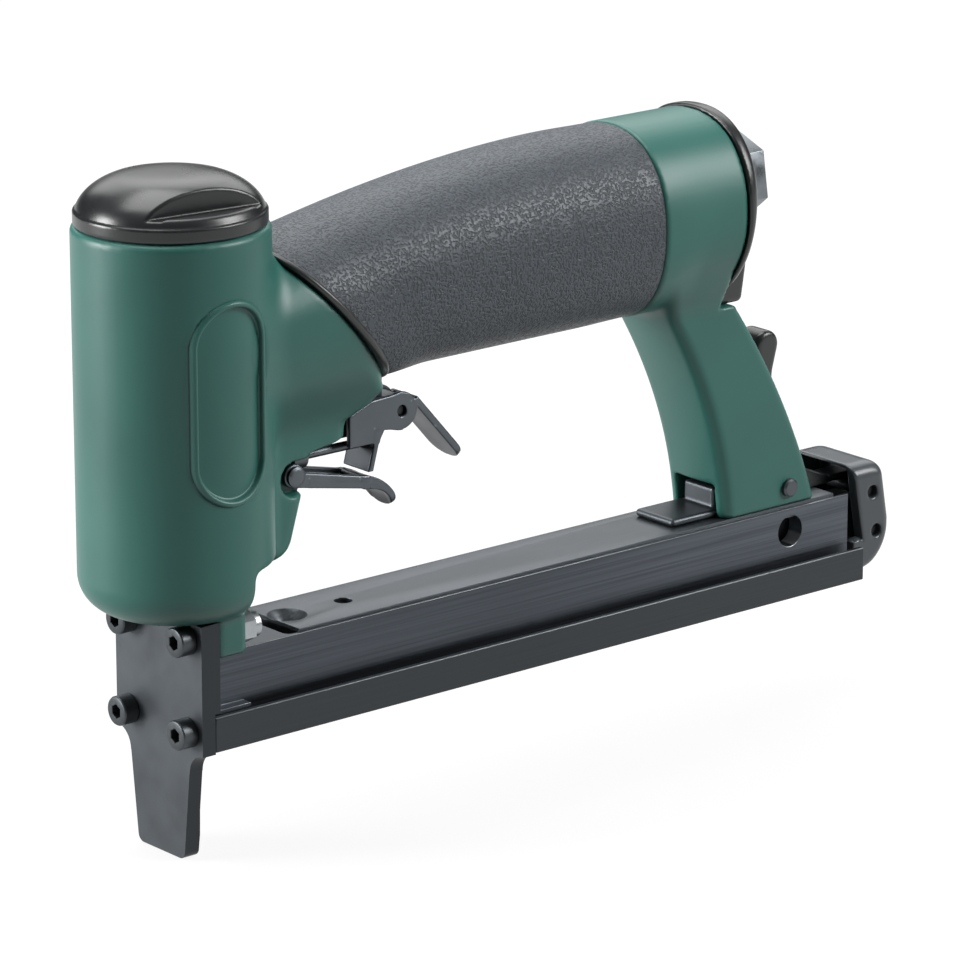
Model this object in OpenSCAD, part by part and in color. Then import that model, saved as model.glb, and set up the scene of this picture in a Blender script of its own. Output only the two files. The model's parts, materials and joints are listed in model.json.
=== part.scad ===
// Hand held pneumatic stapler for upholstery staples.
// Millimetres. The origin lies on the drive axis in the plane of the nose tip,
// X runs back along the magazine, Z runs up the barrel.

/* [Barrel] */
// Outer diameter of the barrel
barrel_d = 45; // [44:0.5:48]
// Bore of the barrel
barrel_bore_d = 39; // [38.5:0.1:39.5]
// Height of the barrel from its foot to its rim
barrel_h = 89.4; // [88.4:0.5:98]
// Rounding of the barrel's lower edge
barrel_round = 8.9; // [6:0.1:10]
// Bore of the drive cylinder
cylinder_d = 30; // [28:0.2:31]
// Wall of the drive cylinder
cylinder_wall = 2; // [1.6:0.1:2.2]
// Travel of the piston
stroke = 47; // [40:0.5:47]

/* [Cap] */
// Outer diameter of the exhaust cap
cap_d = 42.8; // [42:0.2:44.6]
// Height of the cap's upright skirt
cap_skirt_h = 3.4; // [2.8:0.1:4]
// Rise of the cap's crown above its skirt
cap_crown_h = 8.9; // [8:0.1:10]
// Depth of the exhaust ledge below the crown
cap_ledge_h = 7.2; // [5:0.1:7.6]
// Direction of the exhaust, about the barrel
cap_turn = -99.7; // [-180:0.1:180]

/* [Handle] */
// Height of the handle's centre at the barrel
handle_front_z = 118; // [116.5:0.1:119]
// Height of the handle's centre at its rear end
handle_rear_z = 127.5; // [125:0.1:129]
// Height of the handle at the barrel
handle_front_h = 29; // [27:0.2:33]
// Height of the handle at its rear end
handle_rear_h = 47.2; // [45:0.2:50]
// Width of the handle at the barrel
handle_front_w = 37; // [34:0.5:40]
// Width of the handle at its rear end
handle_rear_w = 42.4; // [40:0.2:44]
// Distance from the drive axis to the handle's rear face
handle_l = 156; // [140:0.5:162]
// Wall of the rubber sleeve
grip_t = 3; // [2:0.1:3.4]
// Distance from the drive axis to the sleeve's front edge
grip_front_x = 34.5; // [33:0.5:38]
// Length of the bare handle behind the sleeve
rear_l = 25.5; // [22:0.5:36]
// Bore of the air chamber in the handle
chamber_d = 31; // [28:0.5:32]

/* [Neck and leg] */
// Thickness of the web under the neck
web_w = 14; // [13:0.2:17]
// Distance from the drive axis to the foot of the web's rear edge
web_foot_x = 28.6; // [27.8:0.1:29.4]
// Thickness of the leg
leg_w = 19; // [18.4:0.2:20.4]
// Distance from the front round of the leg's foot to the magazine's rear end
leg_stand = 34.5; // [32.3:0.2:36.3]
// Depth of the leg's flat side at its foot
leg_depth = 24.3; // [23:0.1:25]

/* [Nose] */
// Height of the slide rail's underside above the nose tip
nose_reach = 26.8; // [24:0.2:30]
// Width of the nose plate
plate_w = 32.5; // [32:0.1:34]
// Thickness of the nose plate
plate_t = 3.7; // [3.4:0.1:4.2]
// Distance from the plate's front face back to the drive axis
plate_lead = 5.55; // [5.2:0.05:6]
// Width of the nose tip at its end
tip_w = 17.8; // [17:0.1:20]
// Width of the nose tip at its root
tip_root_w = 22.4; // [21:0.1:23]
// Spacing of the nose screws across the plate
screw_span = 22.3; // [22:0.1:23]
// Outer width of the staple crown
crown_w = 12.9; // [12:0.1:13]

/* [Magazine] */
// Width of the magazine body
magazine_w = 22.6; // [22:0.2:23.6]
// Height of the magazine's top edge above the rail's underside
magazine_h = 21.5; // [21:0.1:24]
// Distance from the drive axis to the magazine's rear end
magazine_l = 200.3; // [185:0.1:220]
// Room between the lower nose screws and the slide rail's sides
screw_room = 1.25; // [1.05:0.05:1.75]
// Height of the slide rail
rail_h = 8.3; // [7:0.1:9]
// Wall of the slide rail
rail_t = 1.6; // [1.2:0.1:1.8]

/* [Trigger and latch] */
// Width of both trigger levers
lever_w = 9.8; // [9.4:0.1:10.4]
// Sheet that the trigger levers are bent from
lever_t = 1.5; // [1.2:0.1:1.6]
// Angle that the trigger lever is pulled through
trigger_angle = 4; // [2:0.5:4]
// Angle that the latch lever is pressed through
latch_angle = 5; // [3:0.5:5]

/* [Hidden] */
$fn = 64;
// One running gap, one seat gap and one overrun serve every fit and cut
run_gap = 0.05;
seat_gap = 0.05;
free_gap = 0.3;
over = 1;
wide = 60;
tiny = 0.001;

// The slide rail clears the lower nose screws, M4
screw_d = 4;
rail_w = screw_span + screw_d + 2 * (rail_t + screw_room);

// Heights in the nose and the magazine
rail_floor_z = nose_reach + rail_t;
rail_top_z = nose_reach + rail_h;
magazine_top_z = nose_reach + magazine_h;
magazine_foot_z = rail_floor_z + free_gap + free_gap;
bar_t = 3.45;
bar_proud = 0.7;
bar_top_z = magazine_top_z + bar_proud;
track_roof_z = bar_top_z - bar_t - seat_gap;
lug_foot_z = magazine_top_z + free_gap;
barrel_foot_rise = 9;
barrel_foot_z = lug_foot_z + barrel_foot_rise;
barrel_top_z = barrel_foot_z + barrel_h;
plate_top_z = barrel_foot_z - seat_gap;
upper_screw_rise = 5.2;
upper_screw_z = magazine_top_z + upper_screw_rise;
lower_screw_rise = 4.7;
lower_screw_z = nose_reach + lower_screw_rise;
floor_rise = 14.4;
floor_z = barrel_foot_z + floor_rise;
undercut_rise = 11.4;
undercut_z = barrel_foot_z + undercut_rise;
undercut_lead = 1.6;
undercut_r = 2.6;

// Depths in the nose
plate_back_x = plate_t - plate_lead;
track_d = 1.3;
blade_t = track_d - 2 * run_gap;
blade_x = plate_back_x - track_d / 2;
track_gap = 0.2;
track_w = crown_w + track_gap;
guide_t = 1.8;
guide_back_x = plate_back_x + guide_t;
shoulder_r = (plate_w - tip_root_w) / 2;
shoulder_drop = 0.2;
shoulder_z = nose_reach - shoulder_drop;
tip_round = 2;
guide_tongue_w = 18.6;
guide_tongue_top_t = 0.9;
guide_tongue_end_t = 0.3;
guide_mid_less = 1;
guide_mid_w = rail_w - 2 * rail_t - guide_mid_less;
guide_mid_top_rise = 1;
guide_mid_top_z = rail_top_z + guide_mid_top_rise;
magazine_front_x = guide_back_x + seat_gap;
lug_t = 8;
lug_front_x = guide_back_x + seat_gap;
lug_back_x = lug_front_x + lug_t;
lug_w = 8.6;
lug_out_less = 0.6;
lug_out_y = plate_w / 2 - lug_out_less;

// Socket screws and lock nuts, M4
screw_hole_d = 4.4;
screw_head_d = 7;
screw_head_h = 4;
screw_socket_af = 3;
screw_socket_depth = 2.2;
nut_af = 7;
nut_h = 3.4;
nut_collar_d = 6.2;
nut_collar_h = 1.9;
thread_gap = 0.04;
screw_tail = 1.2;
lower_screw_l = 16;

// Drive unit
cylinder_out_d = cylinder_d + 2 * cylinder_wall;
seat_r = barrel_bore_d / 2 - 2 * run_gap;
bumper_h = 7.4;
bumper_top_z = floor_z + seat_gap + bumper_h;
piston_foot_z = bumper_top_z + free_gap + stroke;
piston_h = 13;
piston_top_z = piston_foot_z + piston_h;
cylinder_top_drop = 6;
cylinder_top_z = barrel_top_z - cylinder_top_drop;
flange_h = 5;
collar_rise = 12;
collar_z = floor_z + collar_rise;
collar_h = 4;
ring_r = 0.85;
ring_drop = 0.05;
piston_ring_r = 1.2;
piston_ring_drop = 3.4;
piston_ring_z = piston_top_z - piston_ring_drop;
blade_less = 0.1;
blade_w = crown_w - blade_less;
blade_top_rise = 6;
blade_top_z = piston_foot_z + blade_top_rise;
blade_foot_drop = 1.6;
blade_foot_z = bar_top_z - blade_foot_drop;
driver_pin_d = 4;
driver_pin_rise = 3.2;
driver_pin_z = piston_foot_z + driver_pin_rise;
driver_pin_less = 6;
driver_pin_l = cylinder_d - driver_pin_less;
blade_slot_gap = 0.2;

// Main valve over the cylinder
cap_spigot_r = seat_r;
cap_spigot_wall = 2.5;
cap_spigot_in_r = cap_spigot_r - cap_spigot_wall;
cap_spigot_less = 1;
cap_spigot_h = barrel_top_z - cylinder_top_z - cap_spigot_less;
head_valve_ring_r = 0.9;
head_valve_r = cap_spigot_in_r - 2 * free_gap;
head_valve_t = 3.6;
head_valve_z = cylinder_top_z + 2 * run_gap;
head_spring_r = 7;
head_spring_wire = 1.1;

// Cap
cap_r = cap_d / 2;
cap_seat_z = barrel_top_z + seat_gap;
cap_skirt_z = cap_seat_z + cap_skirt_h;
cap_top_z = cap_skirt_z + cap_crown_h;
cap_edge_r = 6.5;
cap_crown_sag = cap_crown_h - cap_edge_r;
cap_flat_r = cap_r - cap_edge_r;
cap_crown_r = (cap_flat_r * cap_flat_r + cap_crown_sag * cap_crown_sag) / (2 * cap_crown_sag);
cap_wall = 2.4;
cap_roof_z = cap_top_z - cap_wall - cap_crown_sag;
cap_ledge_z = cap_top_z - cap_ledge_h;
cap_ledge_x = 14;
cap_step_rise = 1.2;
cap_step_z = cap_seat_z + cap_step_rise;
cap_hollow_r = 11;
cap_slot_l = 17;
cap_slot_h = 0.9;
cap_slot_rise = 0.1;

// Handle: a loft of rounded ovals, whose planes lean at the sleeve's front edge
grip_rear_x = handle_l - rear_l;
oval_sides = 32;
oval_power = 2.25;
handle_ease_share = 0.92;
handle_rise_power = 0.9;
grip_lean_share = 0.92;
chamber_front_x = 64;
chamber_drop = 1.5;
chamber_z = handle_rear_z - chamber_drop;
passage_d = 10;
passage_rise = 5;
passage_z = handle_front_z + passage_rise;
grip_step_shares = [0, 0.12, 0.26, 0.42, 0.6, 0.8, 1];
neck_step_shares = [0, 0.5, 1];
sleeve_gap = 0.1;
grip_edge_r = 0.9;

// Neck web: a loft of upright slabs that flares into the handle's underside
web_foot_drop = 4.4;
web_foot_z = undercut_z - web_foot_drop;
web_knee_drop = 29;
web_knee_z = handle_front_z - web_knee_drop;
web_shelf_drop = 27.2;
web_shelf_z = handle_front_z - web_shelf_drop;
web_throat_drop = 23;
web_throat_z = handle_front_z - web_throat_drop;
web_chin_drop = 19.7;
web_chin_z = handle_front_z - web_chin_drop;
web_top_drop = 7;
web_top_z = handle_front_z - web_top_drop;
web_lean_share = 0.3;
web_shelf_l = 9.4;
web_chin_l = 5.8;
web_jaw_l = 4.6;
web_edge_r = 4.5;
web_flare_w = 16;
web_round_share = 0.45;
web_steps = 7;

// Leg: a loft of slabs with a bowed front, from the magazine's end up into the handle's rear
leg_front_x = magazine_l - leg_stand;
leg_foot_z = bar_top_z + seat_gap;
leg_top_drop = 15;
leg_top_z = handle_rear_z - leg_top_drop;
leg_h = leg_top_z - leg_foot_z;
leg_front_lean_share = 0.08;
leg_front_bow_share = 0.33;
leg_rear_lean_share = 0.322;
leg_rear_bow_share = 0.235;
leg_flare_share = 0.82;
leg_flare_w = 15;
leg_round_steps = 10;
leg_nose_share = 1.2;
leg_nose_a = asin(1 / leg_nose_share);
leg_top_lead = 16.2;
leg_top_x = handle_l - leg_top_lead;
leg_sweep = leg_top_x - leg_front_x + (leg_front_lean_share + leg_front_bow_share) * leg_h;
leg_step_shares = [0, 0.18, 0.36, 0.52, 0.66, 0.78, 0.9, 1];

// Label place on the barrel's near side, left bare
label_w = 19;
label_h = 45.5;
label_drop = 37.2;
label_z = barrel_top_z - label_drop;
label_depth = 0.6;
label_rim = 1;

// End cap and air inlet
end_cap_t = 2.6;
end_cap_proud = 0.7;
end_cap_round = 1.4;
end_cap_x = handle_l + seat_gap;
end_cap_back_x = end_cap_x + end_cap_t;
end_spigot_l = 9;
tail_w = leg_w;
tail_foot_drop = 24.3;
tail_foot_z = handle_rear_z - tail_foot_drop;
tail_top_drop = 9.4;
tail_top_z = handle_rear_z - tail_top_drop;
tail_l = 8.6;
tail_slope = 2;
tail_step = 1.2;
inlet_rise = 4.9;
inlet_z = handle_rear_z + inlet_rise;
inlet_af = 20;
inlet_turn = -9;
inlet_thread_d = 11.45;
inlet_l = 13.2;
inlet_thread_l = 14;
inlet_hole_d = 8;
inlet_spigot_d = 15.6;
inlet_spigot_l = 16;
inlet_ring_r = 0.9;
inlet_back_x = end_cap_back_x + seat_gap + inlet_l;

// Magazine
track_side = 0.25;
passage_w = crown_w + 2 * track_side;
pocket_wall = 1;
pocket_w = magazine_w - 2 * pocket_wall;
pocket_front_x = 23.6;
pocket_round = 2;
flange_w = rail_w - 2 * rail_t - 2 * free_gap;
flange_t = 2.4;
head_l = 10;
head_top_rise = 0.9;
head_top_z = rail_top_z + head_top_rise;
side_hole_d = 8;
side_hole_run = 14.8;
side_hole_x = leg_front_x + side_hole_run;
side_hole_drop = 5.8;
side_hole_z = magazine_top_z - side_hole_drop;
bar_gap = 0.15;
bar_w = pocket_w - 2 * bar_gap;
bar_front_run = 3;
bar_front_x = pocket_front_x + bar_front_run;
bar_back_lead = 4;
bar_back_x = magazine_l - bar_back_lead;
bar_bevel = 0.6;
bar_sink_d = 9.5;
bar_sink_h = 2.6;
bar_sink_run = 5;
bar_sink_x = bar_front_x + bar_sink_run;
bar_sink_hole_d = 4.5;
bar_hole_d = 4.3;
bar_hole_run = 16.6;
bar_hole_x = bar_sink_x + bar_hole_run;

// Magazine slide
rail_front_x = plate_back_x + free_gap;
rail_back_run = 1.3;
rail_back_x = magazine_l + rail_back_run;
rail_notch_gap = 0.4;
core_wall = 1.2;
core_leg_room = 2;
core_less = 0.3;
core_w = crown_w - core_leg_room - core_less;
core_top_drop = 1.5;
core_top_z = track_roof_z - core_top_drop;
core_front_x = guide_back_x + free_gap;
core_slot_w = 2.6;
core_slot_end = 12;
cap_front_x = rail_back_x + seat_gap;
slide_cap_l = 12.9;
slide_cap_w = 24;
slide_cap_wall = 3.4;
slide_cap_roof = 1.5;
slide_cap_back = 2.2;
slide_cap_top_rise = 7.2;
slide_cap_top_z = magazine_top_z + slide_cap_top_rise;
slide_cap_mid_rise = 13;
slide_cap_mid_z = nose_reach + slide_cap_mid_rise;
slide_cap_lower_r = 11.5;
slide_cap_upper_lean = 2.4;
slide_cap_upper_r = 2.2;
slide_cap_rake = 3.4;
slide_cap_shoulder_r = 4.5;
slide_cap_heel_r = 2;
slide_pin_d = 3.2;
slide_pin_sink = 0.4;
catch_run = 6.7;
catch_x = cap_front_x + catch_run;
catch_drop = 0.9;
catch_z = magazine_top_z - catch_drop;
cap_pin_run = 8.2;
cap_pin_x = cap_front_x + cap_pin_run;
cap_pin_drop = 11.2;
cap_pin_z = magazine_top_z - cap_pin_drop;
core_back_run = 2;
core_back_x = cap_pin_x + core_back_run;
pusher_l = 17;
pusher_wall = 0.85;
pusher_gap = 0.2;
pusher_block_w = 7;
pusher_block_foot_drop = 3.5;
pusher_block_foot_z = cap_pin_z - pusher_block_foot_drop;
pusher_block_top_z = core_top_z - core_wall - pusher_gap;
pusher_front_x = core_front_x + free_gap;
spring_r = 3.2;
spring_wire = 0.9;

// Foot bracket in the leg's slot
bracket_plate_t = 1.95;
bracket_w = 13.8;
bracket_slot_w = bracket_w + 2 * run_gap;
bracket_front_lead = 20.5;
bracket_front_x = leg_front_x - bracket_front_lead;
bracket_plate_back_run = 6;
bracket_plate_back_x = leg_front_x + bracket_plate_back_run;
bracket_block_w = 10.6;
bracket_block_lead = 5.8;
bracket_block_x = leg_front_x - bracket_block_lead;
bracket_block_l = 8.6;
bracket_block_top_rise = 7;
bracket_block_top_z = bar_top_z + bracket_block_top_rise;
bracket_ear_t = 2.3;
bracket_ear_back_run = 20.2;
bracket_ear_back_x = leg_front_x + bracket_ear_back_run;
bracket_top_rise = 8.3;
bracket_top_z = bar_top_z + bracket_top_rise;
leg_slot_top_rise = 0.3;
leg_slot_top_z = bracket_top_z + leg_slot_top_rise;
foot_screw_run = 4.3;
foot_screw_x = bracket_block_x + foot_screw_run;
foot_screw_head_d = 7.4;
foot_screw_head_h = 2;

// Latch in the leg's rear slot
latch_run = 14.7;
latch_x = leg_front_x + latch_run;
latch_rise = 4.6;
latch_z = bar_top_z + latch_rise;
latch_pin_d = 4.6;
latch_pin_proud = 1.5;
latch_w = 8;
latch_slot_w = latch_w + 2 * free_gap;
latch_hub_r = 4.2;
latch_thumb_rise = 35;
latch_thumb_z = latch_z + latch_thumb_rise;
latch_thumb_r = 3.7;
latch_thumb_lean = -1.3;
latch_waist_rise = 26;
latch_waist_z = latch_z + latch_waist_rise;
latch_waist_lean = -3.2;
latch_waist_t = 6.4;
latch_root_t = 7;
latch_hook_t = 1.7;
latch_hook_w = 6.6;
latch_hook_foot_z = catch_z + slide_pin_d / 2 + free_gap;
latch_hook_back_run = 1.2;
latch_hook_back_x = catch_x + latch_hook_back_run;
latch_slot_top_rise = 8;
latch_slot_top_z = latch_thumb_z + latch_slot_top_rise;
latch_slot_gap = 1.2;
latch_spring_rise = 14;
latch_spring_z = latch_z + latch_spring_rise;
latch_spring_r = 2.2;
latch_spring_wire = 0.8;

// Trigger levers and their valve rod
lever_in_w = lever_w - 2 * lever_t;
end_round_share = 0.45;
tongue_w = lever_in_w - 2 * free_gap;
trigger_run = 1.8;
trigger_x = web_foot_x + trigger_run;
trigger_pin_drop = 5.5;
trigger_z = web_knee_z - trigger_pin_drop;
trigger_pin_d = 2.8;
trigger_pin_head_d = 5;
trigger_pin_head_h = 1;
trigger_pocket_r = 4.2;
trigger_pocket_lead = 1.2;
trigger_ear_r = 2.85;
trigger_side_h = 3.8;
trigger_l = 22;
trigger_drop = 4.15;
trigger_wall_h = 3;
trigger_tip_r = 13.4;
trigger_tip_start = 75;
trigger_tip_end = 19;
trigger_tip_lap = 6;
trigger_tip_sink = 0.2;
rocker_run = 31.9;
rocker_x = trigger_x + rocker_run;
rocker_pin_rise = 9.8;
rocker_z = trigger_z + rocker_pin_rise;
rocker_pin_d = 2.6;
rocker_sink = 0.4;
rocker_cheek_r = 4.5;
rocker_front_lead = 15.6;
rocker_front_x = rocker_x - rocker_front_lead;
rocker_front_top_rise = 1.5;
rocker_front_top_z = rocker_z + rocker_front_top_rise;
rocker_front_foot_drop = 6.4;
rocker_front_foot_z = rocker_z - rocker_front_foot_drop;
rocker_crown_lead = 8.8;
rocker_crown_x = rocker_x - rocker_crown_lead;
rocker_crown_rise = 4;
rocker_crown_z = rocker_z + rocker_crown_rise;
rocker_back_lead = 5.2;
rocker_back_x = rocker_x - rocker_back_lead;
rocker_knee_lead = 6.8;
rocker_knee_x = rocker_x - rocker_knee_lead;
rocker_foot_lead = 8.6;
rocker_foot_x = rocker_x - rocker_foot_lead;
rocker_foot_drop = 13;
rocker_foot_z = rocker_z - rocker_foot_drop;
rocker_blade_run = 3.4;
rocker_blade_x = rocker_x + rocker_blade_run;
rocker_blade_rise = 1.6;
rocker_blade_z = rocker_z + rocker_blade_rise;
rocker_blade_reach = 15;
rocker_blade_drop = 16.9;
rocker_blade_t = 1.8;
rocker_ratio_share = 2.4;
rocker_room = 0.6;
rocker_angle = trigger_angle * rocker_ratio_share;
rocker_lead = (rocker_z - rocker_front_foot_z) * tan(rocker_angle) + rocker_room;
rocker_rise = (rocker_x - rocker_front_x) * tan(rocker_angle) + rocker_room;
mount_nub_front = 8.4;
mount_nub_back = 4.6;
mount_nub_rise = 9.5;
mount_neck_z = 3.4;
mount_back = 3.6;
mount_sunk = 6;
rod_d = 2.2;
rod_end_gap = 0.8;
rod_rise = 2.8;
rod_z = trigger_z + rod_rise;
rod_front_run = 3.4;
rod_front_x = barrel_bore_d / 2 + rod_front_run;
rod_bush_d = 5.6;
rod_bush_l = 4;
rod_bush_back_run = 5.8;
rod_bush_back_x = trigger_x + rod_bush_back_run;
rod_chamber_d = 5.4;
rod_chamber_back_lead = 2.4;
rod_chamber_back_x = trigger_x - rod_chamber_back_lead;
rod_ring_r = 0.7;
rod_collar_d = 4.6;
rod_collar_t = 1.6;

// Colours
green = "#3f6b62";
black = "#2b2e30";
oxide = "#45494d";
steel = "#a9adb0";
rubber = "#3a3e41";

// Shared helpers

function ease(t) = sin(90 * max(0, min(1, t)));
function soft(t) = let (u = max(0, min(1, t))) u * u * (3 - 2 * u);
function power_sign(v, p) = sign(v) * pow(abs(v), p);

// A profile drawn in Y and Z, run along X
module run_x(x, l) {
    translate([x, 0, 0]) rotate([90, 0, 90]) linear_extrude(l) children();
}

// A profile drawn in X and Z, run across Y
module run_y(w) {
    rotate([90, 0, 0]) linear_extrude(w, center = true) children();
}

// A round bar across Y
module bar_y(d, l) {
    rotate([90, 0, 0]) cylinder(d = d, h = l, center = true);
}

// A round bar along X from x
module bar_x(d, l) {
    rotate([0, 90, 0]) cylinder(d = d, h = l);
}

// A box given by its low and high corners
module span(low, high) {
    translate(low) cube(high - low);
}

// A solid skinned over rings of points
module skin(rings) {
    n = len(rings[0]);
    last = len(rings) - 1;
    sides = [for (j = [0 : last - 1], i = [0 : n - 1])
        let (a = j * n + i, b = j * n + (i + 1) % n) each [[a, b + n, b], [a, a + n, b + n]]];
    front = [[for (i = [0 : n - 1]) i]];
    back = [[for (i = [0 : n - 1]) last * n + n - 1 - i]];
    polyhedron([for (r = rings) each r], concat(front, sides, back), convexity = 6);
}

// A tube skinned over rings that run out along the outside and back along the inside
module skin_loop(rings) {
    n = len(rings[0]);
    m = len(rings);
    sides = [for (j = [0 : m - 1], i = [0 : n - 1])
        let (k = (j + 1) % m, a = j * n + i, b = j * n + (i + 1) % n, c = k * n + (i + 1) % n, d = k * n + i)
        each [[a, c, b], [a, d, c]]];
    polyhedron([for (r = rings) each r], sides, convexity = 8);
}

module o_ring(r, thick_r, z) {
    translate([0, 0, z]) rotate_extrude() translate([r, 0]) circle(thick_r, $fn = 24);
}

module tube_z(r, wall, z, h) {
    translate([0, 0, z]) difference() {
        cylinder(r = r, h = h);
        translate([0, 0, -over]) cylinder(r = r - wall, h = h + 2 * over);
    }
}

// Handle sections

function handle_t(x) = pow(ease(x / (grip_rear_x * handle_ease_share)), handle_rise_power);
function handle_mid_z(x) = handle_front_z + (handle_rear_z - handle_front_z) * handle_t(x);
function handle_half_h(x) = (handle_front_h + (handle_rear_h - handle_front_h) * handle_t(x)) / 2;
function handle_half_w(x) = (handle_front_w + (handle_rear_w - handle_front_w) * handle_t(x)) / 2;
function handle_z(x, inset, a) = handle_mid_z(x)
    + (handle_half_h(x) - inset) * power_sign(sin(a), 2 / oval_power);
function handle_ring(x, lean, inset) = [for (i = [0 : oval_sides - 1])
    let (a = 360 * i / oval_sides, m = handle_mid_z(x),
        p = x - lean * (handle_z(x, inset, a) - m),
        q = x - lean * (handle_z(p, inset, a) - m),
        r = x - lean * (handle_z(q, inset, a) - m))
    [r, (handle_half_w(r) - inset) * power_sign(cos(a), 2 / oval_power), m + (x - r) / max(lean, tiny)
        + (lean > tiny ? 0 : handle_z(x, inset, a) - m)]];
function grip_x(t) = grip_front_x + (grip_rear_x - grip_front_x) * t;
function grip_lean(t) = grip_lean_share * (1 - soft(t));

// Neck web sections

function between(z, low, high) = max(0, min(1, (z - low) / (high - low)));
function web_edge_x(z) = web_foot_x + web_lean_share * (min(z, web_knee_z) - web_foot_z)
    + web_shelf_l * ease(between(z, web_knee_z, web_shelf_z))
    + web_chin_l * between(z, web_throat_z, web_chin_z)
    + web_jaw_l * ease(between(z, web_chin_z, web_top_z))
    - web_edge_r * web_round_share * pow(max(0, 1 - (z - web_foot_z) / web_edge_r), 2);
function grip_edge_x(z) = grip_front_x - grip_lean(0) * (z - handle_mid_z(grip_front_x)) - free_gap;
function web_back_x(z) = min(web_edge_x(z), grip_edge_x(z));
function web_half_w(z) = web_w / 2 + (web_flare_w - web_w / 2)
    * soft((z - web_shelf_z) / (web_top_z - web_shelf_z));
function web_ring(z) = let (r = web_edge_r, b = web_back_x(z), w = web_half_w(z))
    concat([[0, -w, z]],
        [for (i = [0 : web_steps]) let (a = -90 + 90 * i / web_steps)
            [b - r + r * cos(a), r - w + r * sin(a), z]],
        [for (i = [0 : web_steps]) let (a = 90 * i / web_steps)
            [b - r + r * cos(a), w - r + r * sin(a), z]],
        [[0, w, z]]);
web_foot_shares = [0, 0.12, 0.3, 0.6, 1];
web_levels = concat([for (t = web_foot_shares) web_foot_z + web_edge_r * t],
    [web_knee_z],
    [for (t = [0.3, 0.65, 1]) web_knee_z + (web_shelf_z - web_knee_z) * t],
    [for (t = [0.5, 1]) web_shelf_z + (web_throat_z - web_shelf_z) * t],
    [for (t = [0.5, 1]) web_throat_z + (web_chin_z - web_throat_z) * t],
    [for (t = [0.2, 0.4, 0.6, 0.8, 1]) web_chin_z + (web_top_z - web_chin_z) * t]);

// Leg sections

function leg_bow(h, share) = (leg_sweep / leg_h - share) * h * h / leg_h;
function leg_front(h) = leg_front_x - leg_front_lean_share * h + leg_bow(h, leg_front_bow_share);
function leg_rear(h) = leg_front_x + leg_depth - leg_rear_lean_share * h + leg_bow(h, leg_rear_bow_share);
function leg_half_w(h) = leg_w / 2 + (leg_flare_w - leg_w / 2)
    * soft((h / leg_h - leg_flare_share) / (1 - leg_flare_share));
function leg_ring(h) = let (w = leg_half_w(h), f = leg_front(h), b = leg_rear(h), z = leg_foot_z + h)
    concat([[b, -w, z], [b, w, z]],
        [for (i = [0 : leg_round_steps]) let (a = leg_nose_a * (1 - 2 * i / leg_round_steps))
            [f - leg_w / 2 + leg_nose_share * w * (1 - cos(a)), leg_nose_share * w * sin(a), z]]);

// Front wall of the latch's slot, clear of the pressed lever
function latch_slot_x(z) = latch_x - latch_root_t / 2 - latch_slot_gap
    + (z - latch_z) * ((latch_waist_lean + (latch_root_t - latch_waist_t) / 2) / (latch_waist_z - latch_z)
    - tan(latch_angle));

// Housing group

module barrel_solid() {
    r = barrel_d / 2;
    rotate_extrude($fn = 96) {
        translate([0, barrel_foot_z + barrel_round]) square([r, barrel_top_z - barrel_foot_z - barrel_round]);
        translate([0, barrel_foot_z]) square([r - barrel_round, barrel_round + over]);
        translate([r - barrel_round, barrel_foot_z + barrel_round]) intersection() {
            circle(barrel_round);
            translate([0, -barrel_round]) square(barrel_round);
        }
    }
}

// The handle core steps in under the rubber sleeve and out again behind it
module handle_solid() {
    skin(concat(
        [for (t = neck_step_shares) handle_ring(grip_front_x * t, grip_lean(0) * t, 0)],
        [for (t = grip_step_shares) handle_ring(grip_x(t), grip_lean(t), grip_t)],
        [handle_ring(grip_rear_x, 0, 0), handle_ring(handle_l, 0, 0)]));
}

module nose_lugs() {
    for (s = [-1, 1])
        span([lug_front_x, min(s * lug_out_y, s * (lug_out_y - lug_w)), lug_foot_z],
            [lug_back_x, max(s * lug_out_y, s * (lug_out_y - lug_w)), undercut_z]);
}

// Clears the magazine behind the lugs, with a round corner
module barrel_undercut() {
    r = undercut_r;
    x = lug_back_x - undercut_lead;
    run_y(wide) {
        translate([x + r, lug_foot_z - over]) square([wide, undercut_z - lug_foot_z + over]);
        translate([x, lug_foot_z - over]) square([wide, undercut_z - lug_foot_z + over - r]);
        translate([x + r, undercut_z - r]) circle(r);
    }
}

module label_outline(inset) {
    r = label_w / 2 - inset;
    rise = label_h / 2 - label_w / 2;
    translate([0, label_z]) {
        square([2 * r, 2 * rise], center = true);
        for (s = [-1, 1]) translate([0, s * rise]) circle(r);
    }
}

// Bare oval: a shallow sunk field inside a fine groove
module label_cut() {
    intersection() {
        translate([0, -wide / 2, 0]) run_y(wide) difference() {
            label_outline(0);
            difference() {
                label_outline(label_rim);
                label_outline(2 * label_rim);
            }
        }
        difference() {
            translate([0, 0, label_z - label_h]) cylinder(d = barrel_d + wide, h = 2 * label_h);
            translate([0, 0, label_z - label_h])
                cylinder(d = barrel_d - 2 * label_depth, h = 2 * label_h, $fn = 96);
        }
    }
}

module leg_slots() {
    span([leg_front_x - wide, -bracket_slot_w / 2, leg_foot_z - over],
        [leg_front_x + wide, bracket_slot_w / 2, leg_slot_top_z]);
    // Room for the latch lever and its swing
    run_y(latch_slot_w) polygon([[latch_slot_x(latch_z), latch_z], [latch_x + wide, latch_z],
        [latch_x + wide, latch_slot_top_z], [latch_slot_x(latch_slot_top_z), latch_slot_top_z]]);
}

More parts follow.
